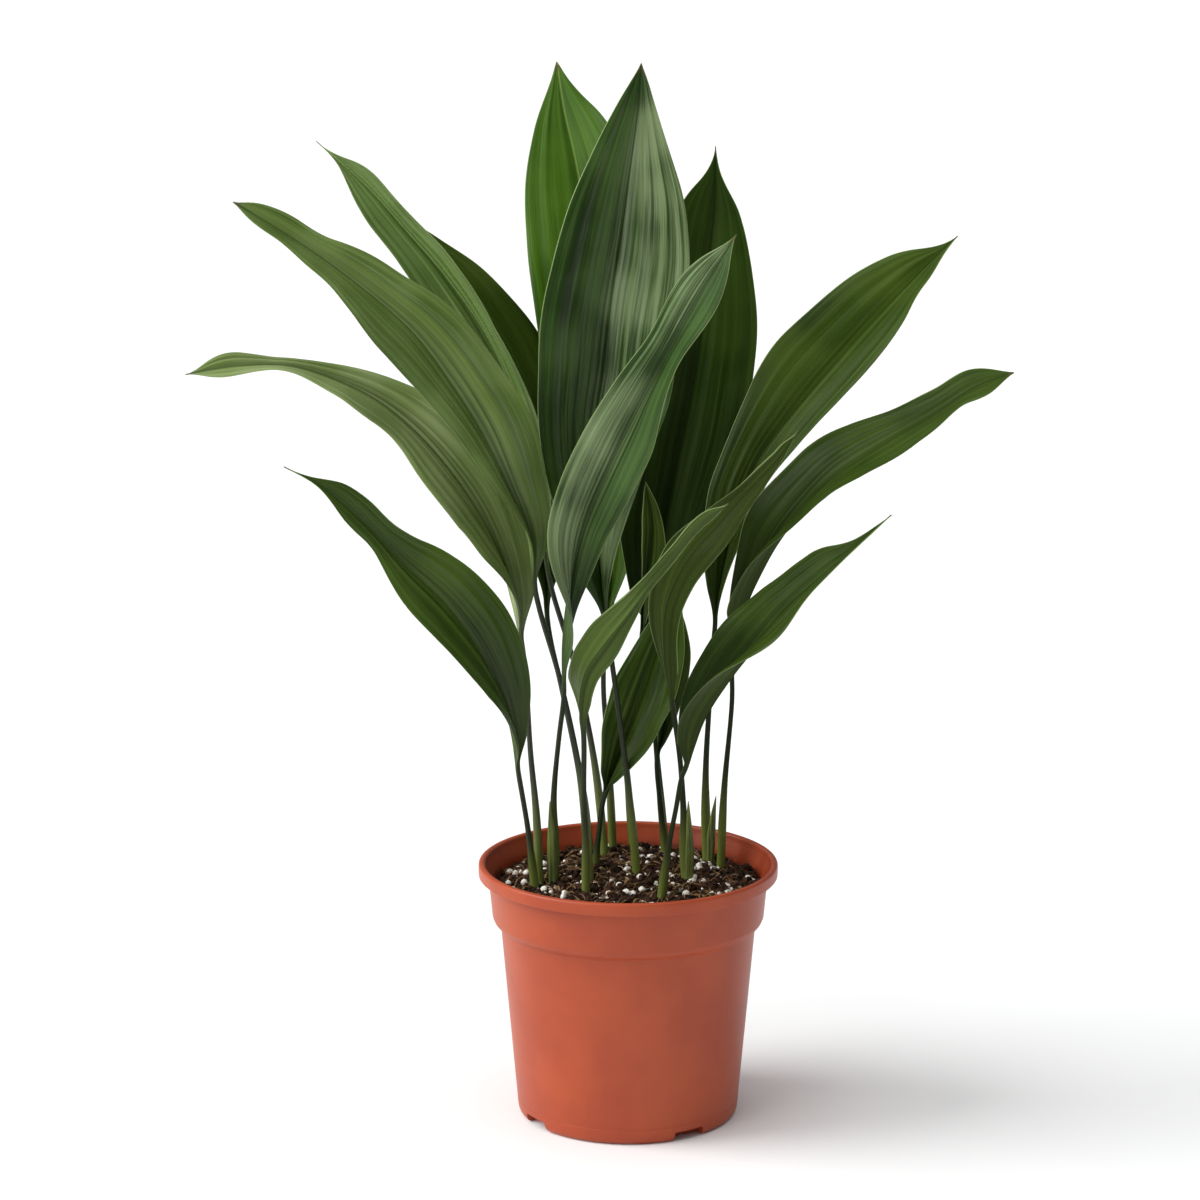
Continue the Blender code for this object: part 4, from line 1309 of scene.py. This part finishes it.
@dataclass
class LeafSheath:
    """A leaf sheath: a thin pointed scale that stands beside a petiole's foot.

    foot, lean, the heights low and top, and radius are in mm. The scale narrows above the share
    narrow_from of its height and flattens above flat_from.
    """

    name: str
    foot: Pair
    lean: Pair
    top: float
    radius: float
    low: float = 128.0
    narrow_from: float = 0.35
    narrowing: float = 0.93
    flat_from: float = 0.3
    flattening: float = 0.45
    ribs: int = 6
    rib_height: float = 0.07
    sides: int = 24
    cuts: int = 22

    def build(self, look: Any) -> Any:
        """Make the sheath from a tapered, ridged cone.

        Args:
            look: its material.

        Returns:
            The piece.
        """
        bm = bmesh.new()
        bmesh.ops.create_cone(
            bm, cap_ends=True, segments=self.sides, radius1=1, radius2=1, depth=1,
            matrix=Matrix.Translation((0, 0, 0.5)),
        )
        sides = [e for e in bm.edges if abs(e.verts[0].co.z - e.verts[1].co.z) > 0.5]
        bmesh.ops.subdivide_edges(bm, edges=sides, cuts=self.cuts, use_grid_fill=True)
        for vert in bm.verts:
            s = vert.co.z
            turn = math.atan2(vert.co.y, vert.co.x)
            above = max(0.0, (s - self.narrow_from) / (1 - self.narrow_from))
            size = self.radius * (1 - above**1.6 * self.narrowing)
            size *= 1 + self.rib_height * math.cos(turn * self.ribs)
            flat = 1 - self.flattening * max(0.0, (s - self.flat_from) / (1 - self.flat_from))
            vert.co.x = (self.foot[0] + self.lean[0] * s * s + size * math.cos(turn)) * MM
            vert.co.y = (self.foot[1] + self.lean[1] * s * s + size * flat * math.sin(turn)) * MM
            vert.co.z = (self.low + (self.top - self.low) * s) * MM
        bmesh.ops.recalc_face_normals(bm, faces=bm.faces)
        return piece_from(bm, f"{self.name}_fine", look, (self.name,), NEVER_SHARP)


@dataclass(frozen=True)
class PaperySheath:
    """A leaf sheath's papery skin: dull green with darker lengthwise ribs."""

    light: str = "#6E7A38"
    dark: str = "#3F4C1E"
    roughness: float = 0.6
    rib_scale: Point = (900.0, 900.0, 40.0)

    def material(self) -> Any:
        """Return the material.

        Returns:
            The finished material.
        """
        shade = Shade("dried_sheath")
        stretch = add_node(shade.tree, "ShaderNodeMapping", None, Vector=shade.place())
        stretch.inputs["Scale"].default_value = self.rib_scale
        ribs = shade.noise(stretch.outputs[0], 1.0, 2.0)
        colour = shade.mix(shade.ramp(ribs, 0.35, 0.65), self.dark, self.light)
        shade.bump(ribs, 0.0002, 0.6)
        return shade.finish(colour, self.roughness, IOR=1.45)


# ---------------------------------------------------------------------------------------------
# Studio
# ---------------------------------------------------------------------------------------------


@dataclass(frozen=True)
class Softbox:
    """A sun lamp that stands for a softbox. Its turn and the angle that it fills are in degrees."""

    name: str
    power: float
    turn: Point
    fills: float

    def hang(self) -> None:
        """Hang the lamp."""
        data = bpy.data.lights.new(self.name, "SUN")
        data.energy, data.angle = self.power, math.radians(self.fills)
        made = bpy.data.objects.new(self.name, data)
        made.rotation_euler = [math.radians(angle) for angle in self.turn]
        bpy.context.scene.collection.objects.link(made)


@dataclass
class Studio:
    """A pale floor, softboxes at the left, the front left and the top, and a long lens."""

    floor_colour: str = "#F2F3F3"
    floor_reach: float = 300.0
    eye: Point = (-0.016, -1.895, 0.701)
    pitch: float = 12.0
    lens: float = 104.0
    sensor: float = 36.0
    floor_gap: float = 0.0004
    ambient: float = 0.28
    backdrop: float = 1.0
    softboxes: tuple[Softbox, ...] = (
        Softbox("side_softbox", 2.6, (54, 0, -86), 38.0),
        Softbox("front_softbox", 0.80, (66, 0, -46), 36.0),
        Softbox("top_softbox", 1.35, (8, 0, -60), 60.0),
    )

    def floor(self) -> None:
        """Lay the floor."""
        bm = bmesh.new()
        bmesh.ops.create_grid(bm, x_segments=2, y_segments=2, size=self.floor_reach)
        bmesh.ops.translate(bm, verts=bm.verts, vec=(0, 0, -self.floor_gap))
        mesh = bpy.data.meshes.new("studio_floor")
        bm.to_mesh(mesh)
        bm.free()
        shade = Shade("matt_studio_floor")
        mesh.materials.append(shade.finish(self.floor_colour, 0.9, Specular_IOR_Level=0.1))
        made = bpy.data.objects.new("studio_floor", mesh)
        bpy.context.scene.collection.objects.link(made)

    def build(self) -> None:
        """Set the floor, the light, the world and the camera."""
        scene = bpy.context.scene
        self.floor()
        for softbox in self.softboxes:
            softbox.hang()
        world = bpy.data.worlds.new("white_cyclorama")
        world.use_nodes = True
        # The wall of the studio is seen as white, while it lights the plant only softly.
        background = world.node_tree.nodes["Background"]
        background.inputs["Color"].default_value = (1.0, 1.0, 1.0, 1.0)
        seen = add_node(world.node_tree, "ShaderNodeLightPath").outputs["Is Camera Ray"]
        strength = add_node(
            world.node_tree, "ShaderNodeMix", None, Factor=seen, A=self.ambient, B=self.backdrop
        ).outputs[0]
        world.node_tree.links.new(strength, background.inputs["Strength"])
        scene.world = world
        data = bpy.data.cameras.new("camera")
        data.lens, data.sensor_width = self.lens, self.sensor
        data.clip_end = 2 * self.floor_reach
        camera = bpy.data.objects.new("camera", data)
        camera.location = self.eye
        camera.rotation_euler = (math.radians(90 - self.pitch), 0, 0)
        scene.collection.objects.link(camera)
        scene.camera = camera
        scene.view_settings.view_transform = "Standard"
        scene.view_settings.look = "None"


def main() -> None:
    """Build the plant and the studio, and note the sizes."""
    logging.basicConfig(level=logging.INFO, format="%(name)s: %(message)s")
    NurseryPot().build()
    PottingSoil().build()
    for leaf in LEAVES:
        leaf.build()
    look = PaperySheath().material()
    for sheath in (
        LeafSheath("sheath_left", (-42.7, -4.6), (-1.6, -4.2), 184, 2.9),
        LeafSheath("sheath_middle", (34.2, -5.2), (-0.4, -2.4), 184, 3.0),
        LeafSheath("sheath_right", (47.4, 36.0), (3.4, -3.0), 176, 2.5),
    ):
        sheath.build(look)
    Studio().build()


if __name__ == "__main__":
    main()
